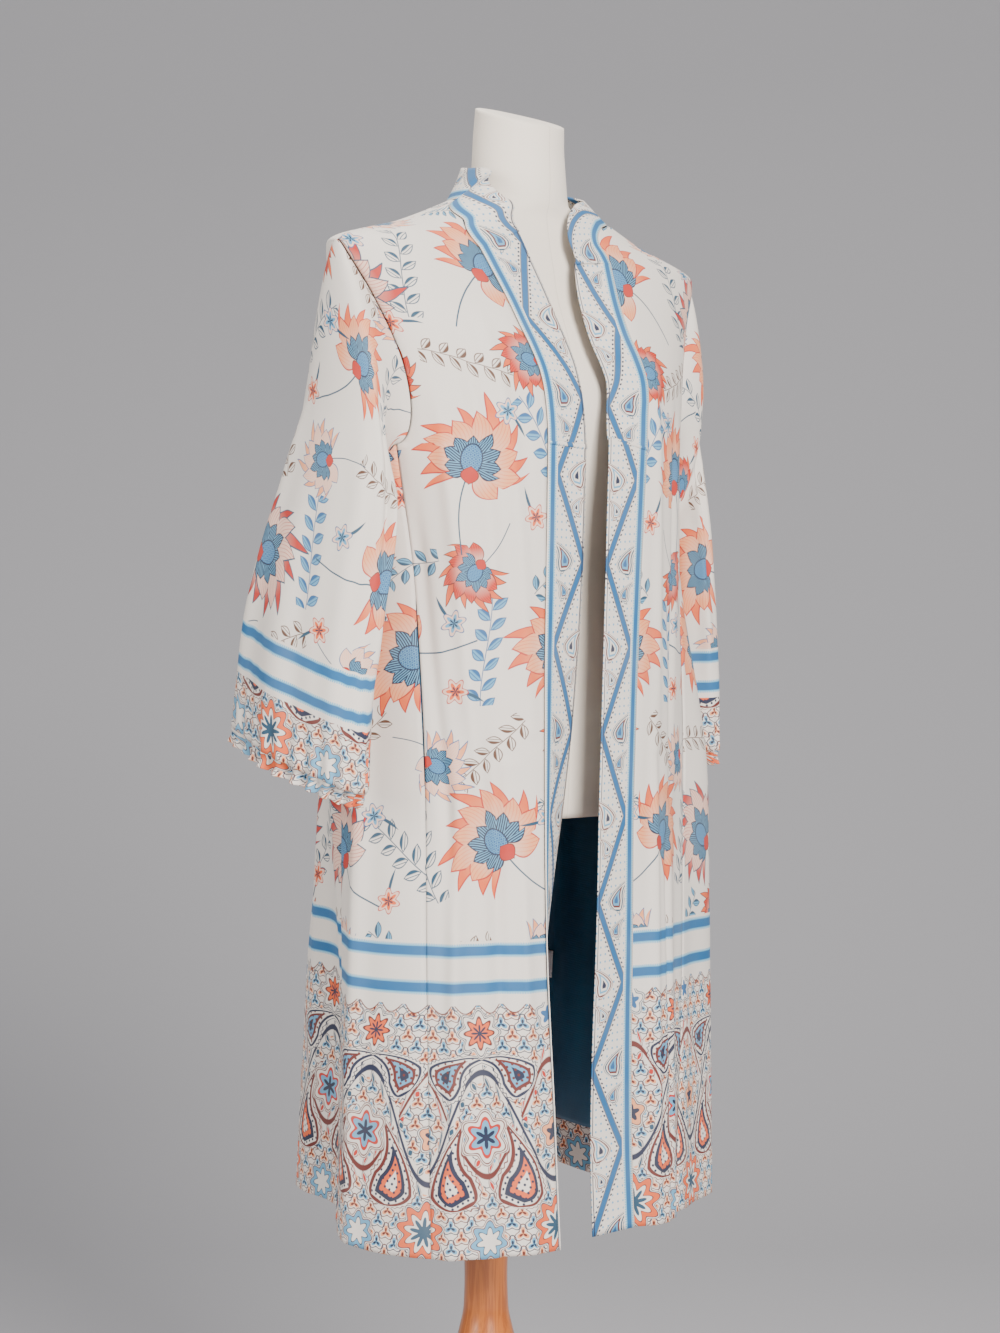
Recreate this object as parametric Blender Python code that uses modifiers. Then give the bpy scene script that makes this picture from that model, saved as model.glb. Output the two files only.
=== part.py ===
"""Kimono coat on a limbless dress form, as solids, for Blender 4.5.

Metres, +Z up. The wearer faces -Y and the wearer's right side is -X. The post of the dress form
stands on the origin. Each piece that a maker cuts, sews or turns is one object.
"""

import math
from collections import namedtuple

import bmesh
import bpy
from mathutils import Vector

WALL = 0.0012
SEAM_GAP = 0.0003

HEM_HEIGHT = 0.467
UNDERARM_HEIGHT = 1.222
TIP_HEIGHT = 1.411
NECK_POINT_HEIGHT = 1.466

BACK_COLUMNS = 26
FRONT_COLUMNS = 8
ARMHOLE_STEPS = 14
SKIRT_ROWS = 11
SHOULDER_ROWS = 6

# Colours are linear RGB of the cloth's ground or of the plain material.
CREAM = (0.78, 0.74, 0.69)
SATIN_TEAL = (0.006, 0.055, 0.13)
FORM_CREAM = (0.83, 0.76, 0.66)
LABEL_WHITE = (0.85, 0.86, 0.88)
VARNISHED_WOOD = (0.48, 0.12, 0.025)


def lookup(rows, height):
    """Read every column of a table at a height, along a smooth curve that never overshoots its rows."""
    height = min(max(height, rows[0].height), rows[-1].height)
    low = max(i for i in range(len(rows) - 1) if rows[i].height <= height)

    def slope(i, column):
        run = rows[i + 1].height - rows[i].height
        return (rows[i + 1][column] - rows[i][column]) / run

    def tangent(i, column):
        if i == 0 or i == len(rows) - 1:
            return slope(min(i, len(rows) - 2), column)
        before, after = slope(i - 1, column), slope(i, column)
        return 2 * before * after / (before + after) if before * after > 0 else 0.0

    run = rows[low + 1].height - rows[low].height
    t = (height - rows[low].height) / run
    read = []
    for column in range(len(rows[0])):
        start, end = rows[low][column], rows[low + 1][column]
        read.append(
            (2 * t**3 - 3 * t**2 + 1) * start
            + (t**3 - 2 * t**2 + t) * run * tangent(low, column)
            + (3 * t**2 - 2 * t**3) * end
            + (t**3 - t**2) * run * tangent(low + 1, column)
        )
    return type(rows[0])(*read)


def ramp(value, none, full):
    """Ease from 0 at none to 1 at full, whichever is the larger."""
    t = min(max((value - none) / (full - none), 0.0), 1.0)
    return t * t * (3 - 2 * t)


# The body of the coat: a ring at each height, and the folds that hang from it.
# Angles run from 0 at the centre front, through 90 at the wearer's right side, to 180 at the back.

Ring = namedtuple("Ring", "height half_width front back centre_x centre_y")
BODY_RINGS = [
    Ring(0.440, 0.206, 0.160, 0.192, 0.009, -0.014),
    Ring(0.600, 0.203, 0.158, 0.180, 0.008, -0.016),
    Ring(0.740, 0.200, 0.152, 0.168, 0.006, -0.020),
    Ring(0.880, 0.196, 0.144, 0.152, 0.004, -0.025),
    Ring(1.030, 0.193, 0.138, 0.136, 0.002, -0.030),
    Ring(1.120, 0.192, 0.135, 0.126, 0.001, -0.034),
    Ring(1.210, 0.193, 0.131, 0.118, 0.000, -0.037),
    Ring(1.290, 0.202, 0.114, 0.113, 0.000, -0.043),
    Ring(1.360, 0.218, 0.087, 0.102, 0.000, -0.048),
    Ring(1.411, 0.232, 0.062, 0.088, 0.000, -0.052),
    Ring(1.440, 0.147, 0.054, 0.072, 0.000, -0.052),
    Ring(1.466, 0.083, 0.052, 0.056, 0.000, -0.050),
    Ring(1.476, 0.062, 0.042, 0.044, 0.000, -0.050),
]
BODY_POWER = 2.1

Fold = namedtuple("Fold", "angle spread out start full")
FOLDS = [
    Fold(angle=-10, spread=13, out=-0.030, start=1.00, full=0.50),
    Fold(angle=-42, spread=8, out=-0.010, start=1.10, full=0.60),
    Fold(angle=-76, spread=12, out=0.048, start=1.205, full=0.88),
    Fold(angle=-108, spread=20, out=-0.030, start=0.96, full=0.48),
    Fold(angle=-140, spread=16, out=0.014, start=0.90, full=0.48),
    Fold(angle=46, spread=24, out=0.016, start=0.90, full=0.48),
    Fold(angle=118, spread=20, out=-0.036, start=0.98, full=0.60),
    Fold(angle=150, spread=17, out=0.022, start=1.05, full=0.66),
    Fold(angle=184, spread=18, out=-0.016, start=0.90, full=0.48),
]

BACK_HEM_LIFT = 0.022
LIFT_START = 1.15
LIFT_FULL = 0.80

NORMAL_STEP_DEGREES = 0.5
NORMAL_STEP_HEIGHT = 0.002


def turn_between(angle, other):
    """The signed turn from one angle to the other, within half a turn."""
    return (other - angle + 180) % 360 - 180


def on_body(angle, height):
    """A point of the coat's body, on its outer face."""
    ring = lookup(BODY_RINGS, height)
    sine = math.sin(math.radians(angle))
    cosine = math.cos(math.radians(angle))
    depth = ring.front if cosine > 0 else ring.back
    power = 2 / BODY_POWER
    out = 0.0
    for fold in FOLDS:
        away = turn_between(fold.angle, angle) / fold.spread
        out += fold.out * math.exp(-away * away) * ramp(height, fold.start, fold.full)
    lift = BACK_HEM_LIFT * ramp(-cosine, -0.3, 0.8) * ramp(height, LIFT_START, LIFT_FULL)
    return Vector(
        (
            ring.centre_x - math.copysign(ring.half_width * abs(sine) ** power, sine) - out * sine,
            ring.centre_y - math.copysign(depth * abs(cosine) ** power, cosine) - out * cosine,
            height + lift,
        )
    )


def body_normal(angle, height):
    around = on_body(angle + NORMAL_STEP_DEGREES, height) - on_body(angle - NORMAL_STEP_DEGREES, height)
    up = on_body(angle, height + NORMAL_STEP_HEIGHT) - on_body(angle, height - NORMAL_STEP_HEIGHT)
    return up.cross(around).normalized()


def beside_body(angle, height, out):
    """A point that lies off the coat's body by a distance along its normal."""
    return on_body(angle, height) + out * body_normal(angle, height)


# Where the panels end: the ridge of the shoulder, then the armhole, then the side seam.

Seam = namedtuple("Seam", "height angle")
RIGHT_SIDE_SEAM = [
    Seam(0.440, 54.5),
    Seam(0.744, 58.0),
    Seam(0.900, 59.5),
    Seam(1.077, 64.0),
    Seam(1.222, 72.0),
]
LEFT_SIDE_SEAM = [
    Seam(0.440, -42.0),
    Seam(0.744, -52.0),
    Seam(0.900, -58.0),
    Seam(1.077, -62.0),
    Seam(1.222, -72.0),
]
ARMHOLE_SPREAD = 14.0
SHOULDER_ANGLE = 90.0

# The front edge of each front panel, where its band is sewn on. Angles are on the wearer's right.
RIGHT_FRONT_EDGE = [
    Seam(0.440, 17.5),
    Seam(0.610, 19.8),
    Seam(0.750, 21.0),
    Seam(0.900, 20.6),
    Seam(1.080, 20.0),
    Seam(1.200, 19.0),
    Seam(1.277, 17.6),
    Seam(1.342, 21.2),
    Seam(1.376, 23.2),
    Seam(1.410, 25.5),
    Seam(1.436, 42.5),
    Seam(1.450, 66.0),
    Seam(1.458, 80.0),
    Seam(1.466, 86.0),
]
LEFT_FRONT_EDGE = [
    Seam(0.440, -17.0),
    Seam(0.741, -14.0),
    Seam(0.904, -12.2),
    Seam(1.080, -15.0),
    Seam(1.213, -19.0),
    Seam(1.256, -21.0),
    Seam(1.286, -22.5),
    Seam(1.303, -21.5),
    Seam(1.337, -17.0),
    Seam(1.376, -15.0),
    Seam(1.423, -15.5),
    Seam(1.445, -26.0),
    Seam(1.458, -66.0),
    Seam(1.466, -86.0),
]


def armhole_angle(height, side_angle):
    """How far the armhole's loop reaches to each side of its middle, and that middle, at a height."""
    middle_height = (TIP_HEIGHT + UNDERARM_HEIGHT) / 2
    half = (TIP_HEIGHT - UNDERARM_HEIGHT) / 2
    share = min(max((height - middle_height) / half, -1.0), 1.0)
    middle = side_angle + (SHOULDER_ANGLE - side_angle) * (share + 1) / 2
    return middle, ARMHOLE_SPREAD * math.sqrt(1 - share * share)


def side_edge(height, side, toward_back):
    """The angle at which a panel ends at the wearer's side: side is 1 on the right and -1 on the left."""
    seam = RIGHT_SIDE_SEAM if side > 0 else LEFT_SIDE_SEAM
    if height >= TIP_HEIGHT:
        return side * SHOULDER_ANGLE
    if height <= UNDERARM_HEIGHT:
        return lookup(seam, height).angle
    middle, reach = armhole_angle(height, abs(seam[-1].angle))
    return side * (middle + (reach if toward_back else -reach))


def panel_heights():
    """The heights of a panel's rows: the shoulder, the armhole in even steps round its loop, the skirt."""
    rise = NECK_POINT_HEIGHT - TIP_HEIGHT
    heights = [NECK_POINT_HEIGHT - rise * i / SHOULDER_ROWS for i in range(SHOULDER_ROWS)]
    middle = (TIP_HEIGHT + UNDERARM_HEIGHT) / 2
    half = (TIP_HEIGHT - UNDERARM_HEIGHT) / 2
    for step in range(ARMHOLE_STEPS):
        heights.append(middle + half * math.cos(math.pi * step / ARMHOLE_STEPS))
    drop = UNDERARM_HEIGHT - HEM_HEIGHT
    heights += [UNDERARM_HEIGHT - drop * i / SKIRT_ROWS for i in range(SKIRT_ROWS + 1)]
    return heights


def gap_angle(angle, height, toward):
    """The angle that lies half a seam gap from an angle, toward another angle."""
    per_degree = (on_body(angle + 1, height) - on_body(angle - 1, height)).length / 2
    return angle + math.copysign(SEAM_GAP / 2 / per_degree, toward - angle)


def clear_scene():
    for old in list(bpy.data.objects):
        bpy.data.objects.remove(old)


def plain_material(name, colour, roughness, metallic=0.0):
    material = bpy.data.materials.new(name)
    material.use_nodes = True
    shader = material.node_tree.nodes["Principled BSDF"]
    shader.inputs["Base Color"].default_value = (*colour, 1)
    shader.inputs["Roughness"].default_value = roughness
    shader.inputs["Metallic"].default_value = metallic
    return material


def finish(name, mesh, colour, roughness):
    """Put a mesh in the coat's collection, facing outward, as an object with its own material."""
    shape = bmesh.new()
    shape.from_mesh(mesh)
    bmesh.ops.recalc_face_normals(shape, faces=shape.faces)
    shape.to_mesh(mesh)
    shape.free()
    mesh.materials.append(plain_material(name, colour, roughness))
    piece = bpy.data.objects.new(name, mesh)
    bpy.data.collections["kimono_coat"].objects.link(piece)
    return piece


def loft(name, outer, inner, colour, roughness, ring=False):
    """A cloth wall between two grids of points, closed at its edges. A ring's rows join end to end."""
    rows, columns = len(outer), len(outer[0])
    points = [point for grid in (outer, inner) for row in grid for point in row]
    inside = rows * columns
    around = columns if ring else columns - 1
    faces = []
    for i in range(rows - 1):
        for j in range(around):
            k = (j + 1) % columns
            a, b = i * columns + j, i * columns + k
            c, d = (i + 1) * columns + k, (i + 1) * columns + j
            faces.append((a, d, c, b))
            faces.append((inside + a, inside + b, inside + c, inside + d))
    for i, turned in ((0, False), (rows - 1, True)):
        for j in range(around):
            a, b = i * columns + j, i * columns + (j + 1) % columns
            rim = (a, b, inside + b, inside + a)
            faces.append(rim[::-1] if turned else rim)
    if not ring:
        for j, turned in ((0, True), (columns - 1, False)):
            for i in range(rows - 1):
                a, b = i * columns + j, (i + 1) * columns + j
                rim = (a, b, inside + b, inside + a)
                faces.append(rim[::-1] if turned else rim)
    mesh = bpy.data.meshes.new(name)
    mesh.from_pydata(points, [], faces)
    piece = finish(name, mesh, colour, roughness)
    split = piece.modifiers.new("even split", "TRIANGULATE")
    split.quad_method = "FIXED"
    return piece


def on_the_coat(_):
    return 0.0


def body_panel(
    name, first_edge, last_edge, columns, colour=CREAM, heights=None, out=on_the_coat, roughness=0.75
):
    """A panel between two edges: functions that give, at a height, its end angles and its lie."""
    grids = ([], [])
    for height in heights or panel_heights():
        first, last = first_edge(height), last_edge(height)
        start = gap_angle(first, height, last)
        end = gap_angle(last, height, first)
        angles = [start + (end - start) * j / columns for j in range(columns + 1)]
        for grid, depth in zip(grids, (0.0, -WALL)):
            lie = out(height) + depth
            grid.append([beside_body(angle, height, lie) for angle in angles])
    return loft(name, *grids, colour, roughness)


def back():
    return body_panel(
        "back",
        lambda height: side_edge(height, 1, True),
        lambda height: 360 + side_edge(height, -1, True),
        BACK_COLUMNS,
    )


def front(side_name, side, edge_rows):
    return body_panel(
        "front_" + side_name,
        lambda height: lookup(edge_rows, height).angle,
        lambda height: side_edge(height, side, False),
        FRONT_COLUMNS,
    )


# Sleeves: rings from the armhole to the cuff, each through its outer and inner side.

SleeveRing = namedtuple("SleeveRing", "share out_x out_z in_x in_z centre_y half_width drop")
SLEEVE_RINGS = [
    SleeveRing(0.00, 0.2325, 1.411, 0.194, 1.222, -0.051, 0.046, 0.000),
    SleeveRing(0.06, 0.2365, 1.390, 0.203, 1.205, -0.053, 0.048, 0.003),
    SleeveRing(0.16, 0.2385, 1.345, 0.204, 1.165, -0.056, 0.052, 0.006),
    SleeveRing(0.30, 0.2420, 1.280, 0.205, 1.140, -0.056, 0.063, 0.010),
    SleeveRing(0.46, 0.2530, 1.200, 0.205, 1.100, -0.048, 0.076, 0.014),
    SleeveRing(0.62, 0.2670, 1.120, 0.205, 1.050, -0.034, 0.083, 0.019),
    SleeveRing(0.78, 0.2770, 1.040, 0.205, 1.000, -0.023, 0.087, 0.025),
    SleeveRing(0.90, 0.2810, 0.978, 0.206, 0.957, -0.018, 0.090, 0.028),
    SleeveRing(1.00, 0.2820, 0.932, 0.207, 0.926, -0.015, 0.093, 0.030),
]
SLEEVE_BLEND = 0.16
CUFF_DEPTH = 0.015
CUFF_GATHERS = 26
POINTS_PER_GATHER = 4

SleeveSide = namedtuple("SleeveSide", "name side seam back_shift out_shift width_share drop_share")
SLEEVE_SIDES = [
    SleeveSide("right", -1, RIGHT_SIDE_SEAM, 0.0, 0.0, 1.0, 1.0),
    SleeveSide("left", 1, LEFT_SIDE_SEAM, 0.035, 0.014, 0.94, 0.15),
]
SLEEVE_WAVES = 5
SLEEVE_WAVE_DEPTH = 0.003


def sleeve_point(sleeve, ring, turn, inset=0.0, along=0.0):
    """A point on a sleeve's ring: turn runs from 0 at the outer side, through the front, to 1."""
    outer = Vector((sleeve.side * ring.out_x, 0, ring.out_z))
    inner = Vector((sleeve.side * ring.in_x, 0, ring.in_z))
    middle = (outer + inner) / 2 + Vector((0, ring.centre_y, 0))
    middle.y += sleeve.back_shift * ramp(ring.share, 0.0, 0.3)
    middle.x += sleeve.side * sleeve.out_shift * ramp(ring.share, 0.3, 0.9)
    across = (outer - inner) / 2
    forward = Vector((0, -ring.half_width * sleeve.width_share, -ring.drop * sleeve.drop_share))
    wave = SLEEVE_WAVE_DEPTH * ramp(ring.share, 0.3, 0.9)
    radial = across.normalized() * math.cos(2 * math.pi * turn) + forward.normalized() * math.sin(
        2 * math.pi * turn
    )
    bulge = wave * math.sin(2 * math.pi * SLEEVE_WAVES * turn + 1.2)
    point = middle + across * math.cos(2 * math.pi * turn) + forward * math.sin(2 * math.pi * turn)
    normal = across.cross(forward).normalized()
    if normal.z > 0:
        normal.negate()
    return point + radial * (bulge - inset) + normal * along


def armhole_point(sleeve, step, inset):
    """A point on the armhole's loop, held off the body by the seam gap and moved in toward its middle."""
    middle_height = (TIP_HEIGHT + UNDERARM_HEIGHT) / 2
    half = (TIP_HEIGHT - UNDERARM_HEIGHT) / 2
    round_loop = math.pi * step / ARMHOLE_STEPS
    height = middle_height + half * math.cos(round_loop)
    toward_back = step > ARMHOLE_STEPS
    angle = side_edge(height, -sleeve.side, toward_back)
    point = beside_body(angle, height, SEAM_GAP)
    middle = beside_body(
        armhole_angle(middle_height, abs(sleeve.seam[-1].angle))[0] * -sleeve.side,
        middle_height,
        SEAM_GAP,
    )
    return point + (middle - point).normalized() * inset


def sleeve_rows(sleeve, inset):
    columns = 2 * ARMHOLE_STEPS
    rows = []
    for ring in SLEEVE_RINGS:
        keep = 1 - ramp(ring.share, 0.0, SLEEVE_BLEND)
        row = []
        for step in range(columns):
            free = sleeve_point(sleeve, ring, step / columns, inset)
            sewn = armhole_point(sleeve, step, inset) if keep else free
            row.append(sewn.lerp(free, 1 - keep))
        rows.append(row)
    return rows


def make_sleeve(sleeve):
    return loft(
        "sleeve_" + sleeve.name,
        sleeve_rows(sleeve, 0.0),
        sleeve_rows(sleeve, WALL),
        CREAM,
        0.75,
        ring=True,
    )


CuffRow = namedtuple("CuffRow", "along pinch wave")
CUFF_ROWS = [
    CuffRow(SEAM_GAP, 0.0010, 0.0004),
    CuffRow(0.45 * CUFF_DEPTH, 0.0050, 0.0022),
    CuffRow(CUFF_DEPTH, 0.0035, 0.0030),
]


def make_cuff(sleeve):
    columns = CUFF_GATHERS * POINTS_PER_GATHER
    grids = ([], [])
    for row in CUFF_ROWS:
        for grid, depth in zip(grids, (0.0, WALL)):
            points = []
            for step in range(columns):
                turn = step / columns
                gather = row.wave * math.cos(2 * math.pi * CUFF_GATHERS * turn)
                inset = row.pinch + depth + gather
                points.append(sleeve_point(sleeve, SLEEVE_RINGS[-1], turn, inset, row.along))
            grid.append(points)
    return loft("cuff_" + sleeve.name, *grids, CREAM, 0.75, ring=True)


# The band: round the back of the neck, then down each front, with its own width and inward turn.

BandStation = namedtuple("BandStation", "height turn width")
RIGHT_BAND = [
    BandStation(0.440, 72, 0.054),
    BandStation(0.700, 70, 0.054),
    BandStation(0.790, 58, 0.054),
    BandStation(0.840, 47, 0.054),
    BandStation(0.908, 38, 0.054),
    BandStation(1.050, 21, 0.054),
    BandStation(1.300, 15, 0.054),
    BandStation(1.400, 2, 0.054),
    BandStation(1.436, -6, 0.054),
    BandStation(1.450, -14, 0.046),
    BandStation(1.466, -28, 0.040),
]
LEFT_BAND = [
    BandStation(0.440, -14, 0.054),
    BandStation(0.740, -8, 0.054),
    BandStation(0.950, 0, 0.054),
    BandStation(1.120, 2, 0.054),
    BandStation(1.200, 10, 0.054),
    BandStation(1.280, 16, 0.054),
    BandStation(1.360, 8, 0.054),
    BandStation(1.400, 2, 0.052),
    BandStation(1.440, 0, 0.042),
    BandStation(1.466, -3, 0.033),
]
BAND_COLUMNS = (0.0, 0.24, 0.62, 1.0)
BAND_SMOOTHING = 4
BACK_NECK_STEPS = BACK_COLUMNS // 2
BACK_NECK_TURN = -40
BACK_NECK_WIDTH = 0.038


def band_stations(side, edge_rows, band_rows):
    """Each station down the band: its angle and height on the body, its turn and its width."""
    stations = []
    shoulder = side * SHOULDER_ANGLE
    for step in range(BACK_NECK_STEPS + 1):
        angle = side * 180 + (shoulder - side * 180) * step / BACK_NECK_STEPS
        share = ramp(abs(angle), 180, 90)
        turn = BACK_NECK_TURN + (band_rows[-1].turn - BACK_NECK_TURN) * share
        width = BACK_NECK_WIDTH + (band_rows[-1].width - BACK_NECK_WIDTH) * share
        stations.append((angle, NECK_POINT_HEIGHT, turn, width))
    for height in panel_heights():
        row = lookup(band_rows, height)
        stations.append((lookup(edge_rows, height).angle, height, row.turn, row.width))
    return stations


def smoothed(directions):
    """The directions, each averaged with its neighbours a few times, so that the band turns softly."""
    for _ in range(BAND_SMOOTHING):
        before = [directions[0]] + directions[:-1]
        after = directions[1:] + [directions[-1]]
        directions = [(a + 2 * b + c).normalized() for a, b, c in zip(before, directions, after)]
    return directions


def band(side_name, side, edge_rows, band_rows):
    stations = band_stations(side, edge_rows, band_rows)
    seam = [on_body(angle, height) for angle, height, _, _ in stations]
    across_seam, reaches, faces = [], [], []
    for i, (angle, height, turn, _) in enumerate(stations):
        after = seam[min(i + 1, len(seam) - 1)]
        before = seam[i - 1] if i else Vector((-after.x, after.y, after.z))
        out = body_normal(angle, height)
        across = out.cross((after - before).normalized()).normalized() * side
        turned = math.radians(turn)
        across_seam.append(across)
        reaches.append(across * math.cos(turned) - out * math.sin(turned))
        faces.append(out * math.cos(turned) + across * math.sin(turned))
    seam[0].x -= side * SEAM_GAP / 2
    grids = ([], [])
    for i, (reach, face) in enumerate(zip(smoothed(reaches), smoothed(faces))):
        if i == 0:
            reach.x = face.x = 0.0
        face = (face - reach * face.dot(reach)).normalized()
        _, _, turn, width = stations[i]
        start = seam[i] + across_seam[i] * (SEAM_GAP + WALL * max(0.0, math.sin(math.radians(turn))))
        outer = [start + reach * width * share for share in BAND_COLUMNS]
        grids[0].append(outer)
        grids[1].append([point - face * WALL for point in outer])
    return loft("band_" + side_name, *grids, CREAM, 0.7)


# What shows inside: the satin back lining, the pocket bags and the blank label.

LINING_CLEARANCE = 0.0006
LINING_SWING = 0.0040
LINING_RISE = 0.045
POCKET_TOP = 1.085
POCKET_BOTTOM = 0.86
POCKET_REACH = 24.0
POCKET_TUCK = 1.0
POCKET_CLEARANCE = 0.0006
POCKET_ROWS = 4
POCKET_COLUMNS = 5
LABEL_SIZE = (0.016, 0.029)
LABEL_CLEARANCE = 0.0018
LABEL_ANGLE = -127.0
LABEL_HEIGHT = 0.676


def lining():
    low = HEM_HEIGHT + LINING_RISE + 0.02
    heights = [height for height in panel_heights() if low < height < UNDERARM_HEIGHT]
    heights.append(HEM_HEIGHT + LINING_RISE)
    return body_panel(
        "lining_back",
        lambda height: side_edge(height, 1, True),
        lambda height: 360 + side_edge(height, -1, True),
        BACK_COLUMNS,
        SATIN_TEAL,
        heights,
        out=lambda height: -(WALL + LINING_CLEARANCE + LINING_SWING * ramp(-height, -0.80, -HEM_HEIGHT)),
        roughness=0.3,
    )


def pocket(side_name, side):
    """A flat bag under the front panel that closes the slit in the side seam from behind."""
    drop = POCKET_TOP - POCKET_BOTTOM
    heights = [POCKET_TOP - drop * i / POCKET_ROWS for i in range(POCKET_ROWS + 1)]
    return body_panel(
        "pocket_" + side_name,
        lambda height: side_edge(height, side, False) - side * POCKET_REACH,
        lambda height: side_edge(height, side, False) - side * POCKET_TUCK,
        POCKET_COLUMNS,
        CREAM,
        heights,
        out=lambda _: -(WALL + POCKET_CLEARANCE),
    )


def care_label():
    width, height = LABEL_SIZE
    middle = on_body(LABEL_ANGLE, LABEL_HEIGHT)
    per_degree = (on_body(LABEL_ANGLE + 1, LABEL_HEIGHT) - middle).length
    spread = width / 2 / per_degree
    swing = LINING_SWING * ramp(-LABEL_HEIGHT, -0.80, -HEM_HEIGHT)
    inside = -(2 * WALL + LINING_CLEARANCE + swing + LABEL_CLEARANCE)
    return body_panel(
        "care_label",
        lambda _: LABEL_ANGLE - spread,
        lambda _: LABEL_ANGLE + spread,
        1,
        LABEL_WHITE,
        [LABEL_HEIGHT + height / 2, LABEL_HEIGHT - height / 2],
        out=lambda _: inside,
    )


# The dress form: a cloth-covered torso with a slanted neck, a turned post and a round base.

FORM_COLUMNS = 32
FORM_RINGS = [
    Ring(0.867, 0.148, 0.086, 0.108, 0.0, -0.030),
    Ring(0.875, 0.152, 0.089, 0.112, 0.0, -0.030),
    Ring(0.950, 0.153, 0.092, 0.112, 0.0, -0.030),
    Ring(1.030, 0.138, 0.090, 0.096, 0.0, -0.031),
    Ring(1.110, 0.124, 0.085, 0.086, 0.0, -0.033),
    Ring(1.180, 0.132, 0.090, 0.090, 0.0, -0.035),
    Ring(1.250, 0.148, 0.096, 0.095, 0.0, -0.038),
    Ring(1.320, 0.164, 0.080, 0.094, 0.0, -0.043),
    Ring(1.375, 0.180, 0.056, 0.080, 0.0, -0.048),
    Ring(1.404, 0.182, 0.047, 0.068, 0.0, -0.051),
    Ring(1.427, 0.164, 0.041, 0.058, 0.0, -0.052),
    Ring(1.4520, 0.112, 0.038, 0.050, 0.0, -0.051),
    Ring(1.460, 0.074, 0.042, 0.047, 0.0, -0.049),
    Ring(1.468, 0.053, 0.045, 0.0455, 0.0, -0.048),
    Ring(1.490, 0.0485, 0.0460, 0.0450, 0.0, -0.048),
    Ring(1.520, 0.0460, 0.0450, 0.0440, 0.0, -0.048),
    Ring(1.552, 0.0440, 0.0435, 0.0435, 0.0, -0.050),
]
NECK_SLANT = 0.34
NECK_SLANT_START = 1.468


def form_torso():
    """A closed stack of rings; the neck's own rings slant down toward the front."""
    points = []
    for ring in FORM_RINGS:
        for step in range(FORM_COLUMNS):
            angle = 2 * math.pi * step / FORM_COLUMNS
            depth = ring.front if math.cos(angle) > 0 else ring.back
            x = -ring.half_width * math.sin(angle)
            y = -depth * math.cos(angle)
            slant = NECK_SLANT * ramp(ring.height, NECK_SLANT_START, FORM_RINGS[-1].height)
            points.append((ring.centre_x + x, ring.centre_y + y, ring.height + slant * (y + 0.005)))
    faces = [tuple(range(FORM_COLUMNS))]
    for i in range(len(FORM_RINGS) - 1):
        for j in range(FORM_COLUMNS):
            k = (j + 1) % FORM_COLUMNS
            low, high = i * FORM_COLUMNS, (i + 1) * FORM_COLUMNS
            faces.append((low + j, high + j, high + k, low + k))
    top = (len(FORM_RINGS) - 1) * FORM_COLUMNS
    faces.append(tuple(top + j for j in reversed(range(FORM_COLUMNS))))
    mesh = bpy.data.meshes.new("form_torso")
    mesh.from_pydata(points, [], faces)
    return finish("form_torso", mesh, FORM_CREAM, 0.9)


Turning = namedtuple("Turning", "height radius")
POST_PROFILE = [
    Turning(0.8667, 0.0225),
    Turning(0.450, 0.0225),
    Turning(0.405, 0.0215),
    Turning(0.375, 0.0225),
    Turning(0.350, 0.0275),
    Turning(0.315, 0.0365),
    Turning(0.275, 0.0400),
    Turning(0.225, 0.0365),
    Turning(0.165, 0.0270),
    Turning(0.120, 0.0215),
    Turning(0.095, 0.0215),
    Turning(0.085, 0.0300),
    Turning(0.070, 0.0300),
    Turning(0.060, 0.0235),
    Turning(0.0353, 0.0235),
]
BASE_PROFILE = [
    Turning(0.0350, 0.060),
    Turning(0.0320, 0.120),
    Turning(0.0260, 0.195),
    Turning(0.0200, 0.207),
    Turning(0.0120, 0.210),
    Turning(0.0030, 0.208),
    Turning(0.0000, 0.204),
]
TURNED_STEPS = 32


def turned(name, profile):
    """A solid turned on the vertical axis: its profile runs down the outer side, from axis to axis."""
    outline = [(0, 0, profile[0].height)]
    outline += [(row.radius, 0, row.height) for row in profile]
    outline.append((0, 0, profile[-1].height))
    mesh = bpy.data.meshes.new(name)
    mesh.from_pydata(outline, [(i, i + 1) for i in range(len(outline) - 1)], [])
    piece = finish(name, mesh, VARNISHED_WOOD, 0.25)
    screw = piece.modifiers.new("turning", "SCREW")
    screw.steps = screw.render_steps = TURNED_STEPS
    screw.use_merge_vertices = True
    screw.merge_threshold = 0.0001
    return piece


def main():
    clear_scene()
    collection = bpy.data.collections.new("kimono_coat")
    bpy.context.scene.collection.children.link(collection)
    back()
    front("right", 1, RIGHT_FRONT_EDGE)
    front("left", -1, LEFT_FRONT_EDGE)
    for sleeve in SLEEVE_SIDES:
        make_sleeve(sleeve)
        make_cuff(sleeve)
    band("right", 1, RIGHT_FRONT_EDGE, RIGHT_BAND)
    band("left", -1, LEFT_FRONT_EDGE, LEFT_BAND)
    lining()
    pocket("right", 1)
    pocket("left", -1)
    care_label()
    form_torso()
    turned("form_post", POST_PROFILE)
    turned("form_base", BASE_PROFILE)


main()
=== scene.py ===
"""Looks of the kimono coat on its dress form: printed crepe, satin, cotton cover and turned wood."""

import math
from collections import namedtuple

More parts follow.
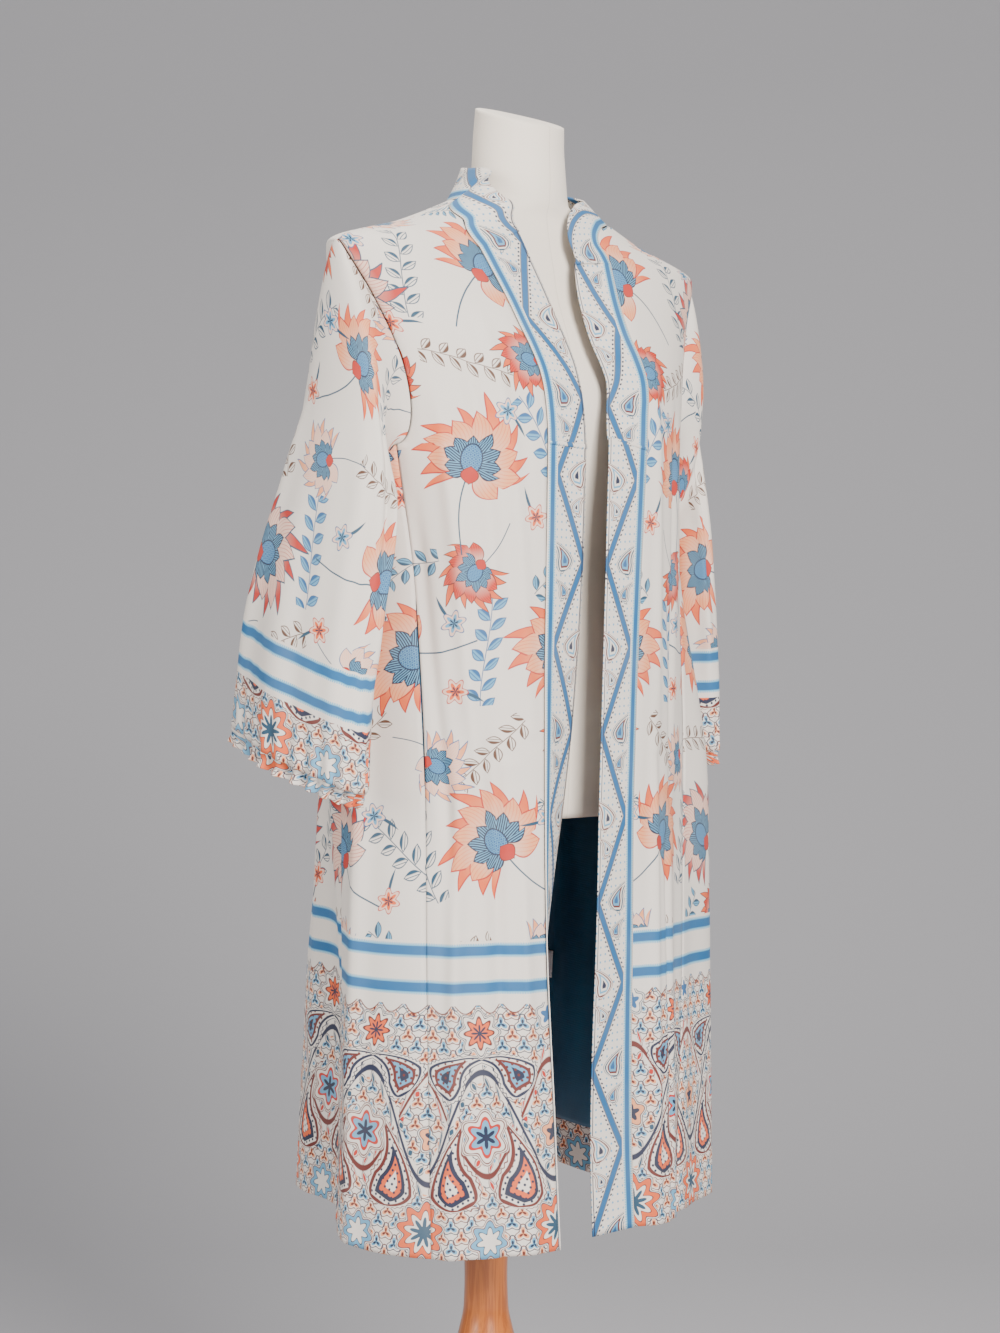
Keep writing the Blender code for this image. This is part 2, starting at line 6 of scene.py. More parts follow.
import bmesh
import bpy
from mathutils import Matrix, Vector


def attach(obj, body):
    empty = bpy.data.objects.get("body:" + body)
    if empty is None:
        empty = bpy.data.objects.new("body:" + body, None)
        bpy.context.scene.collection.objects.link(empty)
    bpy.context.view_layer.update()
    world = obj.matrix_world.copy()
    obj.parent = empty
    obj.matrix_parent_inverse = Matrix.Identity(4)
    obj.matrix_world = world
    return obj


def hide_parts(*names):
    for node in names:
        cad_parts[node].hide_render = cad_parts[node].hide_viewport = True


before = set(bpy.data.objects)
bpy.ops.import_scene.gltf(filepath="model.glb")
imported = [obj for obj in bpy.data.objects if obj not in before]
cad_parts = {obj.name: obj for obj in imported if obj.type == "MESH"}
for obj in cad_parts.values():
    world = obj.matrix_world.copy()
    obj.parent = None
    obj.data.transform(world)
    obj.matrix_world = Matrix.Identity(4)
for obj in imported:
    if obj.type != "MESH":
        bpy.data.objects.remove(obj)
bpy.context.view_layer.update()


# The studio: a photographer's tripod at chest height, a seamless grey backdrop and three soft boxes.
# The lens and the camera's place were worked out from the coat's own height and width in the photo.

CAMERA_PLACE = (-1.763, -1.979, 1.03)
CAMERA_TURN = math.radians(-42)
LENS_MM = 71.57
SENSOR_MM = 36
HORIZON_SHIFT = -0.0124
AMBIENT_GREY = (0.40, 0.41, 0.43)
AMBIENT_STRENGTH = 0.72
BACKDROP_GREY = (0.40, 0.40, 0.425)
LAMP_WHITE = (1.0, 0.955, 0.90)
SWEEP_FRONT = -7.0
SWEEP_BACK = 1.9
SWEEP_RADIUS = 1.8
SWEEP_TOP = 6.0
SWEEP_HALF_WIDTH = 8.0
SWEEP_STEPS = 24
PAPER_ROUGHNESS = 0.85


def in_scene(name, data):
    """A new object of the scene, at the origin."""
    held = bpy.data.objects.new(name, data)
    bpy.context.scene.collection.objects.link(held)
    return held


def blank_material(name):
    """A new material, with its node tree and its shader."""
    material = bpy.data.materials.new(name)
    material.use_nodes = True
    return material, material.node_tree, material.node_tree.nodes["Principled BSDF"]


def grid_of(rows, columns):
    """A flat grid of faces, and the row and column of each of its points."""
    shape = bmesh.new()
    bmesh.ops.create_grid(shape, x_segments=columns, y_segments=rows, size=0.5)
    spots = {
        point: (round((point.co.y + 0.5) * rows), round((point.co.x + 0.5) * columns))
        for point in shape.verts
    }
    return shape, spots


def finished_piece(name, shape, material):
    """A smooth-shaded object of one material, made from a finished bmesh."""
    for face in shape.faces:
        face.smooth = True
    mesh = bpy.data.meshes.new(name)
    shape.to_mesh(mesh)
    shape.free()
    mesh.materials.append(material)
    return in_scene(name, mesh)


camera_data = bpy.data.cameras.new("tripod camera")
camera_data.lens = LENS_MM
camera_data.sensor_width = SENSOR_MM
camera_data.shift_y = HORIZON_SHIFT
camera = in_scene("tripod camera", camera_data)
camera.location = CAMERA_PLACE
camera.rotation_euler = (math.radians(90), 0, CAMERA_TURN)
bpy.context.scene.camera = camera

SoftBox = namedtuple("SoftBox", "name place aim size watts")
SOFT_BOXES = [
    SoftBox("key soft box", (-1.2, -3.6, 2.6), (0, 0, 1.0), 1.3, 330),
    SoftBox("fill soft box", (-3.4, 0.2, 2.0), (0, 0, 1.0), 2.0, 84),
    SoftBox("top soft box", (0.4, 0.9, 3.4), (0, 0, 1.1), 1.8, 60),
]
for box in SOFT_BOXES:
    lamp = bpy.data.lights.new(box.name, "AREA")
    lamp.energy = box.watts
    lamp.size = box.size
    lamp.color = LAMP_WHITE
    holder = in_scene(box.name, lamp)
    holder.location = box.place
    holder.rotation_euler = (Vector(box.aim) - Vector(box.place)).to_track_quat("-Z", "Y").to_euler()

world = bpy.data.worlds.new("studio")
world.use_nodes = True
world.node_tree.nodes["Background"].inputs["Color"].default_value = (*AMBIENT_GREY, 1)
world.node_tree.nodes["Background"].inputs["Strength"].default_value = AMBIENT_STRENGTH
bpy.context.scene.world = world

paper, _, paper_shader = blank_material("studio floor")
paper_shader.inputs["Base Color"].default_value = (*BACKDROP_GREY, 1)
paper_shader.inputs["Roughness"].default_value = PAPER_ROUGHNESS
sweep_profile = [(SWEEP_FRONT, 0.0), (SWEEP_BACK, 0.0)]
for step in range(1, SWEEP_STEPS + 1):
    bend = math.pi / 2 * step / SWEEP_STEPS
    rise = SWEEP_RADIUS * (1 - math.cos(bend))
    sweep_profile.append((SWEEP_BACK + SWEEP_RADIUS * math.sin(bend), rise))
sweep_profile.append((SWEEP_BACK + SWEEP_RADIUS, SWEEP_TOP))
floor_shape, floor_spots = grid_of(len(sweep_profile) - 1, 1)
for point, (row, column) in floor_spots.items():
    away, height = sweep_profile[row]
    sideways = (column - 0.5) * 2 * SWEEP_HALF_WIDTH
    point.co.x = sideways * math.cos(CAMERA_TURN) - away * math.sin(CAMERA_TURN)
    point.co.y = sideways * math.sin(CAMERA_TURN) + away * math.cos(CAMERA_TURN)
    point.co.z = height
finished_piece("studio floor", floor_shape, paper)


# The printed crepe: a light polyester crepe, off-white, with flowers and sprigs scattered over it.
# The printer lays down flat colours with thin outlines, so each motif is drawn as distances to edges.

INK_EDGE = 0.0005
CREAM = (0.80, 0.745, 0.685)
PEACH = (0.90, 0.36, 0.17)
ORANGE = (0.80, 0.125, 0.03)
RED = (0.52, 0.020, 0.012)
ROSE_WHITE = (0.86, 0.58, 0.47)
NAVY = (0.006, 0.014, 0.050)
TEAL = (0.010, 0.065, 0.125)
BLUE = (0.014, 0.115, 0.300)
SKY = (0.130, 0.370, 0.580)
BROWN = (0.10, 0.035, 0.015)
WINE = (0.130, 0.014, 0.012)
STRIPE_BLUE = (0.006, 0.125, 0.320)
STRIPE_TOOTH = (0.17, 0.47, 0.68)


class Drawn:
    """A number that changes over the cloth, carried by a socket of a node tree."""

    def __init__(self, socket):
        self.socket = socket
        self.tree = socket.id_data

    def through(self, operation, *others, clamp=False):
        node = self.tree.nodes.new("ShaderNodeMath")
        node.operation = operation
        node.use_clamp = clamp
        for place, value in zip(node.inputs, (self, *others)):
            if isinstance(value, Drawn):
                self.tree.links.new(value.socket, place)
            else:
                place.default_value = value
        return Drawn(node.outputs[0])

    def __add__(self, other):
        return self.through("ADD", other)

    def __sub__(self, other):
        return self.through("SUBTRACT", other)

    def __mul__(self, other):
        return self.through("MULTIPLY", other)

    def __abs__(self):
        return self.through("ABSOLUTE")

    def most(self, other):
        return self.through("MAXIMUM", other)

    def least(self, other):
        return self.through("MINIMUM", other)

    def sine(self):
        return self.through("SINE")

    def cosine(self):
        return self.through("COSINE")

    def limited(self, low, high):
        return self.most(low).least(high)

    def repeated(self, period):
        """The distance from the nearest of a row of marks, a period apart."""
        return self.through("WRAP", period / 2, -period / 2)

    def steps(self, period):
        return (self * (1 / period)).through("ROUND")

    def zigzag(self, reach):
        return self.through("PINGPONG", reach)

    def filled(self, edge=INK_EDGE):
        """1 where this distance is inside a shape, and 0 outside it."""
        return (self * (-1 / edge)).through("ADD", 0.5, clamp=True)

    def outlined(self, half_width, edge=INK_EDGE):
        return (abs(self) - half_width).filled(edge)


def distance_from_centre(x, y):
    return (x * x + y * y).through("SQRT")


def turned_by(x, y, angle):
    sine, cosine = math.sin(angle), math.cos(angle)
    return x * cosine + y * sine, y * cosine - x * sine


def turned_with(x, y, angle):
    sine, cosine = angle.sine(), angle.cosine()
    return x * cosine + y * sine, y * cosine - x * sine


def printed_over(ground, ink, mask):
    """The ground colour with an ink laid over it where the mask is 1."""
    tree = mask.tree
    node = tree.nodes.new("ShaderNodeMix")
    node.data_type = "RGBA"
    tree.links.new(mask.socket, node.inputs["Factor"])
    for place, colour in (("A", ground), ("B", ink)):
        slot = next(s for s in node.inputs if s.name == place and s.type == "RGBA")
        if isinstance(colour, tuple):
            slot.default_value = (*colour, 1)
        else:
            tree.links.new(colour, slot)
    return next(s for s in node.outputs if s.type == "RGBA")


def printers_group(name, inputs, outputs):
    group = bpy.data.node_groups.new(name, "ShaderNodeTree")
    for label, kind in inputs:
        group.interface.new_socket(label, in_out="INPUT", socket_type=kind)
    for label, kind in outputs:
        group.interface.new_socket(label, in_out="OUTPUT", socket_type=kind)
    return group, group.nodes.new("NodeGroupInput"), group.nodes.new("NodeGroupOutput")


def placed_group(tree, group, **values):
    node = tree.nodes.new("ShaderNodeGroup")
    node.node_tree = group
    for label, value in values.items():
        slot = node.inputs[label]
        if isinstance(value, Drawn):
            tree.links.new(value.socket, slot)
        elif isinstance(value, bpy.types.NodeSocket):
            tree.links.new(value, slot)
        elif isinstance(value, tuple):
            slot.default_value = (*value, 1)
        else:
            slot.default_value = value
    return node


def as_vector(tree, x, y, z=0.0):
    joined = tree.nodes.new("ShaderNodeCombineXYZ")
    tree.links.new(x.socket, joined.inputs["X"])
    tree.links.new(y.socket, joined.inputs["Y"])
    joined.inputs["Z"].default_value = z
    return joined.outputs[0]


def noise_over(tree, vector, scale, detail, distortion=0.0):
    """A number that wanders between 0 and 1 over the surface."""
    node = tree.nodes.new("ShaderNodeTexNoise")
    node.inputs["Scale"].default_value = scale
    node.inputs["Detail"].default_value = detail
    node.inputs["Distortion"].default_value = distortion
    tree.links.new(vector, node.inputs["Vector"])
    return Drawn(node.outputs["Fac"])


def embossed(tree, shader, height, strength, distance):
    """Raise and sink the surface, in the light alone, by a height that changes over it."""
    relief = tree.nodes.new("ShaderNodeBump")
    relief.inputs["Strength"].default_value = strength
    relief.inputs["Distance"].default_value = distance
    tree.links.new(height, relief.inputs["Height"])
    tree.links.new(relief.outputs["Normal"], shader.inputs["Normal"])


def petal(along, across, root, tip, width):
    """The distance from a petal's edge: pointed at both ends, along its axis from root to tip."""
    share = (along - root) * (1 / (tip - root))
    swell = (share * (share * -1 + 1) * 4).most(0.0)
    return (abs(across) - swell * width).most(along * -1 + root).most(along - tip)


FLOAT = "NodeSocketFloat"
COLOUR = "NodeSocketColor"
PETAL_SPREAD = math.radians(31)
PETAL_ROOT = 0.006
HEART_RADIUS = 0.0105
SCALE_PITCH = (0.0038, 0.0036)

PetalRow = namedtuple("PetalRow", "kind offset tip width")
PETAL_ROWS = [
    PetalRow("star", 0.5, 0.066, 0.0068),
    PetalRow("broad", 0.0, 0.055, 0.0118),
    PetalRow("striped", 0.5, 0.034, 0.0070),
]


def blossom_group():
    """A fan of pointed petals over a scaled heart, with a second row of striped petals and a stem."""
    inputs = [("X", FLOAT), ("Y", FLOAT)]
    inputs += [(label, COLOUR) for label in ("Petal", "Petal Root", "Outline", "Ground")]
    group, given, result = printers_group("fan blossom", inputs, [("Color", COLOUR)])
    x, y = Drawn(given.outputs["X"]), Drawn(given.outputs["Y"])
    petal_ink, root_ink = given.outputs["Petal"], given.outputs["Petal Root"]
    outline_ink, colour = given.outputs["Outline"], given.outputs["Ground"]

    stem = (x + (y * 42).sine() * 0.006).outlined(0.0007)
    stem_span = abs(y + 0.045).through("LESS_THAN", 0.036)
    colour = printed_over(colour, TEAL, stem * stem_span)

    radius = distance_from_centre(x, y)
    turn = x.through("ARCTAN2", y) + (radius * 60).sine() * 0.22
    for kind, offset, tip, width in PETAL_ROWS:
        index = ((turn * (1 / PETAL_SPREAD)) - offset).through("ROUND")
        step = index.limited(-4.0 + offset, 3.0 + offset) + offset
        away = turn - step * PETAL_SPREAD
        stretch = step * step * 0.022 + (step * 2.4).sine() * 0.10 + 1.04
        along, across = radius * away.cosine() * stretch, radius * away.sine()
        edge = petal(along, across, PETAL_ROOT, tip, width)
        toward_root = ((along * (-1 / tip)) + 0.80).through("MULTIPLY", 1.6, clamp=True)
        if kind == "striped":
            fill = printed_over(SKY, NAVY, across.repeated(0.0021).outlined(0.00060))
            rim = NAVY
        elif kind == "star":
            fill = printed_over(root_ink, petal_ink, toward_root)
            rim = outline_ink
        else:
            fill = printed_over(petal_ink, ROSE_WHITE, toward_root)
            vein = across.repeated(0.0034).outlined(0.00030)
            past_root = (along * (1 / tip) - 0.25).through("MULTIPLY", 1.4, clamp=True)
            fill = printed_over(fill, root_ink, vein * past_root)
            rim = outline_ink
        colour = printed_over(colour, fill, edge.filled())
        colour = printed_over(colour, rim, edge.outlined(0.00065))

    heart_y = y - PETAL_ROOT
    heart = distance_from_centre(x, heart_y * 0.78) - HEART_RADIUS
    colour = printed_over(colour, BLUE, heart.filled())
    scale_wide, scale_tall = SCALE_PITCH
    scale_x = x + heart_y.steps(scale_tall) * (scale_wide / 2)
    scales = distance_from_centre(scale_x.repeated(scale_wide), heart_y.repeated(scale_tall)) - 0.0014
    colour = printed_over(colour, SKY, scales.outlined(0.0003) * heart.filled())
    colour = printed_over(colour, NAVY, heart.outlined(0.0006))
    calyx = petal(y * -1 - 0.001, x, 0.0, 0.016, 0.0085)
    colour = printed_over(colour, RED, calyx.filled())
    colour = printed_over(colour, WINE, calyx.outlined(0.0005))
    group.links.new(colour, result.inputs["Color"])
    return group


def lobed(x, y, radius, lobes, depth):
    """The distance from the edge of a round form with lobes, such as a floret or a medallion."""
    wave = (x.through("ARCTAN2", y) * lobes).cosine() * (depth * radius)
    return distance_from_centre(x, y) - wave - radius


def ringed(colour, edge, bands):
    """Fill a form with inks, each from its own depth inside the edge."""
    for ink, depth in bands:
        colour = printed_over(colour, ink, (edge + depth).filled())
    return colour


LEAF_PITCH = 0.0185
SPRIG_HALF_LENGTH = 0.052


def sprig_group():
    """A thin curved stem with pairs of pointed leaves, each with a dark edge and a paler side."""
    inputs = [("X", FLOAT), ("Y", FLOAT), ("Leaf", COLOUR), ("Outline", COLOUR), ("Ground", COLOUR)]
    group, given, result = printers_group("leaf sprig", inputs, [("Color", COLOUR)])
    x, y = Drawn(given.outputs["X"]), Drawn(given.outputs["Y"])
    leaf_ink, outline_ink = given.outputs["Leaf"], given.outputs["Outline"]
    colour = given.outputs["Ground"]
    bent = x + (y * 26).sine() * 0.009
    within = abs(y).through("LESS_THAN", SPRIG_HALF_LENGTH)
    colour = printed_over(colour, outline_ink, bent.outlined(0.00045) * within)
    side = bent.through("SIGN")
    step = y + side * (LEAF_PITCH / 4)
    along, across = turned_by(step.repeated(LEAF_PITCH) + 0.006, abs(bent), math.radians(52))
    edge = petal(along, across, 0.0015, 0.0185, 0.0042)
    inside = edge.filled() * within
    fill = printed_over(leaf_ink, outline_ink, (across - 0.001).outlined(0.0004))
    fill = printed_over(fill, outline_ink, (across * -900).through("ADD", -0.6, clamp=True))
    colour = printed_over(colour, fill, inside)
    colour = printed_over(colour, outline_ink, edge.outlined(0.00055) * within)
    group.links.new(colour, result.inputs["Color"])
    return group


CHINTZ_CELL = (0.165, 0.185)
ROW_STAGGER = 0.38
MOTIF_STRAY = 0.024


def scattered(tree, u, v, shift, tilt, seed, shrink=1.0):
    """Local coordinates of each cell's motif in a staggered lattice, with its own turn and place."""
    wide, tall = CHINTZ_CELL
    row = (v - shift[1] * tall).steps(tall)
    x = u - shift[0] * wide + row * (ROW_STAGGER * wide)
    column = x.steps(wide)
    chance = tree.nodes.new("ShaderNodeTexWhiteNoise")
    chance.noise_dimensions = "3D"
    tree.links.new(as_vector(tree, column, row, seed), chance.inputs["Vector"])
    luck = Drawn(chance.outputs["Value"])
    parted = tree.nodes.new("ShaderNodeSeparateXYZ")
    tree.links.new(chance.outputs["Color"], parted.inputs[0])
    local_x = x.repeated(wide) + (Drawn(parted.outputs[0]) - 0.5) * MOTIF_STRAY
    local_y = (v - shift[1] * tall).repeated(tall) + (Drawn(parted.outputs[1]) - 0.5) * MOTIF_STRAY
    local_x, local_y = turned_with(local_x, local_y, (luck - 0.5) * tilt)
    return local_x * (1 / shrink), local_y * (1 / shrink), Drawn(parted.outputs[2])


blossom = blossom_group()
sprig = sprig_group()

# Each layer has its place in the cell, the most it turns, its seed, its size and two sets of inks.
ChintzLayer = namedtuple("ChintzLayer", "motif shift tilt seed shrink inks")
CHINTZ_LAYERS = [
    ChintzLayer(sprig, (0.5, 0.04), 2.4, 3.0, 1.0, ((SKY, BLUE), (CREAM, TEAL))),
    ChintzLayer(sprig, (0.02, 0.52), 5.0, 5.0, 0.86, ((CREAM, BROWN), (SKY, TEAL))),
    ChintzLayer(
        blossom, (0.5, 0.5), 5.2, 7.0, 0.66, ((RED, ORANGE, WINE), (ROSE_WHITE, PEACH, BLUE))
    ),
    ChintzLayer(
        blossom, (0.0, 0.0), 3.6, 9.0, 1.04, ((PEACH, ORANGE, RED), (ROSE_WHITE, RED, TEAL))
    ),
]
FLORETS = [((0.27, 0.78), 11.0, ORANGE, RED), ((0.76, 0.24), 13.0, SKY, BLUE)]
FLORET_TILT = 6.0
FLORET_RADIUS = 0.0105
SECOND_INKS_FROM = 0.56


def chintz_group():
    """The scattered print: large and small blossoms with blue sprigs and brown sprigs between them."""
    inputs = [("U", FLOAT), ("V", FLOAT), ("Ground", COLOUR)]
    group, given, result = printers_group("scattered chintz", inputs, [("Color", COLOUR)])
    u, v, colour = Drawn(given.outputs["U"]), Drawn(given.outputs["V"]), given.outputs["Ground"]
    for motif, shift, tilt, seed, shrink, inks in CHINTZ_LAYERS:
        x, y, luck = scattered(group, u, v, shift, tilt, seed, shrink)
        choice = luck.through("GREATER_THAN", SECOND_INKS_FROM)
        names = ("Leaf", "Outline") if motif is sprig else ("Petal", "Petal Root", "Outline")
        chosen = {
            label: printed_over(first, second, choice)
            for label, first, second in zip(names, *inks)
        }
        drawn = placed_group(group, motif, X=x, Y=y, Ground=colour, **chosen)
        colour = drawn.outputs["Color"]
    for shift, seed, heart_ink, leaf_ink in FLORETS:
        x, y, _ = scattered(group, u, v, shift, FLORET_TILT, seed)
        stalk = petal(y * -1, x - y * y * 9, 0.004, 0.030, 0.0016)
        colour = printed_over(colour, TEAL, stalk.filled())
        floret = lobed(x, y, FLORET_RADIUS, 6, 0.24)
        rings = ((leaf_ink, 0.0), (ROSE_WHITE, 0.0011), (heart_ink, 0.0042), (NAVY, 0.0080))
        colour = ringed(colour, floret, rings)
    group.links.new(colour, result.inputs["Color"])
    return group


PAISLEY_LENGTH = 2.1
PAISLEY_RING_DEPTHS = (0.0, 0.16, 0.34, 0.52, 0.74)


def paisley(x, y, size):
    """The distance from a curled drop: a round body at the origin with a tail that bends over."""
    bent = x - y * y * (0.42 / size)
    up = (y * (1 / (PAISLEY_LENGTH * size))).limited(0.0, 1.0)
    down = (y * (1 / size)).limited(-1.0, 0.0)
    body = (down * down * -1 + 1).through("SQRT")
    taper = up * -1 + 1
    width = body * taper * size
    return (abs(bent) - width).most(y * -1 - size).most(y - PAISLEY_LENGTH * size)


def paisley_rings(colour, edge, inks, size):
    """Nested outlines inside a paisley, from its edge inward."""
    return ringed(colour, edge, [(ink, depth * size) for ink, depth in zip(inks, PAISLEY_RING_DEPTHS)])


BORDER_PERIOD = 0.150
CURL_PITCH = 0.0205
BORDER_ARCH_HEIGHT = 0.236
ARCH_WIDTH = 0.025
BORDER_VINES = [(0.128, 0.052, WINE, RED), (0.120, -0.052, NAVY, TEAL)]

# Paisleys stand in mirrored pairs. Phase, here and below, is a share of the border's period.
BorderPaisley = namedtuple("BorderPaisley", "phase height size lean inks")
BORDER_PAISLEYS = [
    BorderPaisley(0.25, 0.066, 0.0240, 0.42, (WINE, CREAM, NAVY, ORANGE, CREAM)),
    BorderPaisley(0.25, 0.168, 0.0180, -0.50, (NAVY, CREAM, WINE, SKY, NAVY)),
]
LARGE_RINGS = ((NAVY, 0.0), (ORANGE, 0.0012), (WINE, 0.0080), (CREAM, 0.0092), (TEAL, 0.0150))
MIDDLE_RINGS = ((WINE, 0.0), (CREAM, 0.0012), (RED, 0.0052), (SKY, 0.0086), (NAVY, 0.0140))
UPPER_RINGS = ((NAVY, 0.0), (CREAM, 0.0011), (WINE, 0.0056), (ORANGE, 0.0080), (NAVY, 0.0135))
Medallion = namedtuple("Medallion", "phase height radius lobes rings")
MEDALLIONS = [
    Medallion(0.0, 0.024, 0.0250, 9, LARGE_RINGS),
    Medallion(0.5, 0.016, 0.0170, 7, ((WINE, 0.0), (SKY, 0.0011), (NAVY, 0.0060), (CREAM, 0.0072))),
    Medallion(0.5, 0.112, 0.0210, 6, MIDDLE_RINGS),
    Medallion(0.0, 0.112, 0.0130, 5, ((NAVY, 0.0), (PEACH, 0.0010), (NAVY, 0.0062))),
    Medallion(0.5, 0.208, 0.0185, 8, UPPER_RINGS),
    Medallion(0.0, 0.222, 0.0120, 5, ((TEAL, 0.0), (CREAM, 0.0010), (BLUE, 0.0052))),
]


def mirrored_across(u, phase):
    """Distance from the nearest axis of a row of mirrored forms, which lie a border period apart."""
    return (u - phase * BORDER_PERIOD).repeated(BORDER_PERIOD)


def border_group():
    """The dense border of the hem and the sleeve ends: paisleys, medallions and vines on cream."""
    inputs = [("U", FLOAT), ("V", FLOAT), ("Ground", COLOUR)]
    group, given, result = printers_group("paisley border", inputs, [("Color", COLOUR)])
    u, v, colour = Drawn(given.outputs["U"]), Drawn(given.outputs["V"]), given.outputs["Ground"]
    for shift, ink, heart_ink in ((0.0, WINE, PEACH), (0.5, NAVY, SKY)):
        curl_x = (u - shift * CURL_PITCH).repeated(CURL_PITCH)
        curl_y = (v - shift * CURL_PITCH).repeated(CURL_PITCH)
        curl = lobed(curl_x, curl_y, 0.0068, 3, 0.34)
        colour = printed_over(colour, ink, curl.outlined(0.00055))
        colour = ringed(colour, curl, ((heart_ink, 0.0026), (ink, 0.0048)))
    arch = v - BORDER_ARCH_HEIGHT + abs((u * (math.pi / ARCH_WIDTH)).sine()) * 0.010
    colour = printed_over(colour, CREAM, (arch * -1).filled())
    colour = printed_over(colour, WINE, arch.outlined(0.0007))
    colour = printed_over(colour, TEAL, (arch + 0.0032).outlined(0.0005))

    for height, swing, ink, leaf_ink in BORDER_VINES:
        vine = v - height - (u * (2 * math.pi / BORDER_PERIOD)).cosine() * swing
        slim = vine * 0.45
        colour = printed_over(colour, CREAM, slim.outlined(0.0042))
        colour = printed_over(colour, ink, slim.outlined(0.0013))
        leaf = petal(abs(vine) - 0.002, u.repeated(0.0125) + abs(vine) * 0.4, 0.0, 0.015, 0.0028)
        colour = ringed(colour, leaf, ((ink, 0.0), (CREAM, 0.0007), (leaf_ink, 0.0014)))

    for phase, height, size, lean, inks in BORDER_PAISLEYS:
        side = abs(mirrored_across(u, 0.0)) - phase * BORDER_PERIOD
        x, y = turned_by(side, v - height, lean)
        edge = paisley(x, y, size)
        colour = printed_over(colour, CREAM, (edge - 0.0044).filled())
        rim = (x.through("ARCTAN2", y) * 26).sine() * 0.0009
        colour = printed_over(colour, inks[0], (edge - 0.0030 + rim).outlined(0.0006))
        colour = paisley_rings(colour, edge, inks, size)
        seeds = distance_from_centre(x.repeated(0.0058), y.repeated(0.0058)) - 0.0013
        within = (edge + PAISLEY_RING_DEPTHS[1] * size).filled()
        colour = printed_over(colour, inks[2], seeds.filled() * within)

    for phase, height, radius, lobes, rings in MEDALLIONS:
        form = lobed(mirrored_across(u, phase), v - height, radius, lobes, 0.17)
        colour = printed_over(colour, CREAM, (form - 0.0026).filled())
        colour = printed_over(colour, rings[0][0], (form - 0.0016).outlined(0.00045))
        colour = ringed(colour, form, rings)
    group.links.new(colour, result.inputs["Color"])
    return group


def stripe_group():
    """A blue stripe with a picot edge of fine pale teeth."""
    inputs = [("Across", FLOAT), ("Along", FLOAT), ("Half Width", FLOAT), ("Ground", COLOUR)]
    group, given, result = printers_group("picot stripe", inputs, [("Color", COLOUR)])
    across, along = Drawn(given.outputs["Across"]), Drawn(given.outputs["Along"])
    half = Drawn(given.outputs["Half Width"])
    tooth = along.repeated(0.0024).outlined(0.0007, 0.0004)
    edge = abs(across) - half
    colour = printed_over(given.outputs["Ground"], CREAM, (edge - 0.0030).filled())
    colour = printed_over(colour, STRIPE_TOOTH, (edge - 0.0016).filled() * (tooth * 0.8 + 0.2))
    colour = printed_over(colour, STRIPE_TOOTH, (edge - 0.0002).filled())
    colour = printed_over(colour, STRIPE_BLUE, (edge + 0.0009).filled(0.0009))
    group.links.new(colour, result.inputs["Color"])
    return group


PEBBLE_SCALE = 950
RUMPLE_SCALE = 14
CREPE_THREADS = 7000
# A grey-brown painted over the cream as shade where the cloth rumples.
CREPE_PAINTED_SHADE = (0.58, 0.53, 0.48)
CREPE_BUMP = 0.55


def crepe_group():
    """The crepe's own surface: a fine pebbled weave and a slow rumple, with painted shade that darkens
    the cloth where the rumple rises.
    """
    group, given, result = printers_group(
        "crepe surface",
        [("U", FLOAT), ("V", FLOAT), ("Color", COLOUR)],
        [("Color", COLOUR), ("Height", FLOAT), ("Roughness", FLOAT)],
    )
    u, v = Drawn(given.outputs["U"]), Drawn(given.outputs["V"])
    across_cloth = as_vector(group, u, v)
    pebble = noise_over(group, across_cloth, PEBBLE_SCALE, 2)
    rumple = noise_over(group, across_cloth, RUMPLE_SCALE, 4)
    threads = (u * CREPE_THREADS).sine() * (v * CREPE_THREADS).sine()
    height = pebble * 0.16 + threads * 0.04 + rumple
    # Painted shade: the rumple that raises the cloth in the bump also darkens its colour toward a
    # grey-brown.
    painted_shade = (rumple - 0.5) * 0.24 + 0.06
    tinted = printed_over(given.outputs["Color"], CREPE_PAINTED_SHADE, painted_shade.limited(0.0, 0.16))
    group.links.new(tinted, result.inputs["Color"])
    group.links.new(height.socket, result.inputs["Height"])
    group.links.new((rumple * 0.16 + 0.62).socket, result.inputs["Roughness"])
    return group


chintz = chintz_group()
border = border_group()
stripe = stripe_group()
crepe = crepe_group()


def cloth_material(name):
    """A material with its own print map parted into metres across and along the cloth."""
    material, tree, _ = blank_material(name)
    laid = tree.nodes.new("ShaderNodeUVMap")
    laid.uv_map = "print"
    parted = tree.nodes.new("ShaderNodeSeparateXYZ")
    tree.links.new(laid.outputs[0], parted.inputs[0])
    return material, tree, Drawn(parted.outputs[0]), Drawn(parted.outputs[1])


def finish_cloth(tree, u, v, colour, bump=0.0016):
    shader = tree.nodes["Principled BSDF"]
    surface = placed_group(tree, crepe, U=u, V=v, Color=colour)
    tree.links.new(surface.outputs["Color"], shader.inputs["Base Color"])
    tree.links.new(surface.outputs["Roughness"], shader.inputs["Roughness"])
    embossed(tree, shader, surface.outputs["Height"], CREPE_BUMP, bump)
    shader.inputs["Sheen Weight"].default_value = 0.05
    shader.inputs["Sheen Roughness"].default_value = 0.4
    shader.inputs["Specular IOR Level"].default_value = 0.3


PICOT_REACH = 0.0040


def printed_crepe(name, border_top, stripe_heights, stripe_half):
    """Scattered chintz above, two picot stripes, and the paisley border below them, down to the edge."""
    material, tree, u, v = cloth_material(name)
    scattered_print = placed_group(tree, chintz, U=u, V=v, Ground=CREAM).outputs["Color"]
    dense = placed_group(tree, border, U=u, V=v, Ground=CREAM).outputs["Color"]
    plain_top = max([border_top] + [height + stripe_half + PICOT_REACH for height in stripe_heights])
    colour = printed_over(scattered_print, CREAM, (v - plain_top).filled())
    colour = printed_over(colour, dense, (v - border_top).filled())
    for height in stripe_heights:
        laid = placed_group(tree, stripe, Across=v - height, Along=u, Ground=colour)
        laid.inputs["Half Width"].default_value = stripe_half
        colour = laid.outputs["Color"]
    finish_cloth(tree, u, v, colour)
    return material


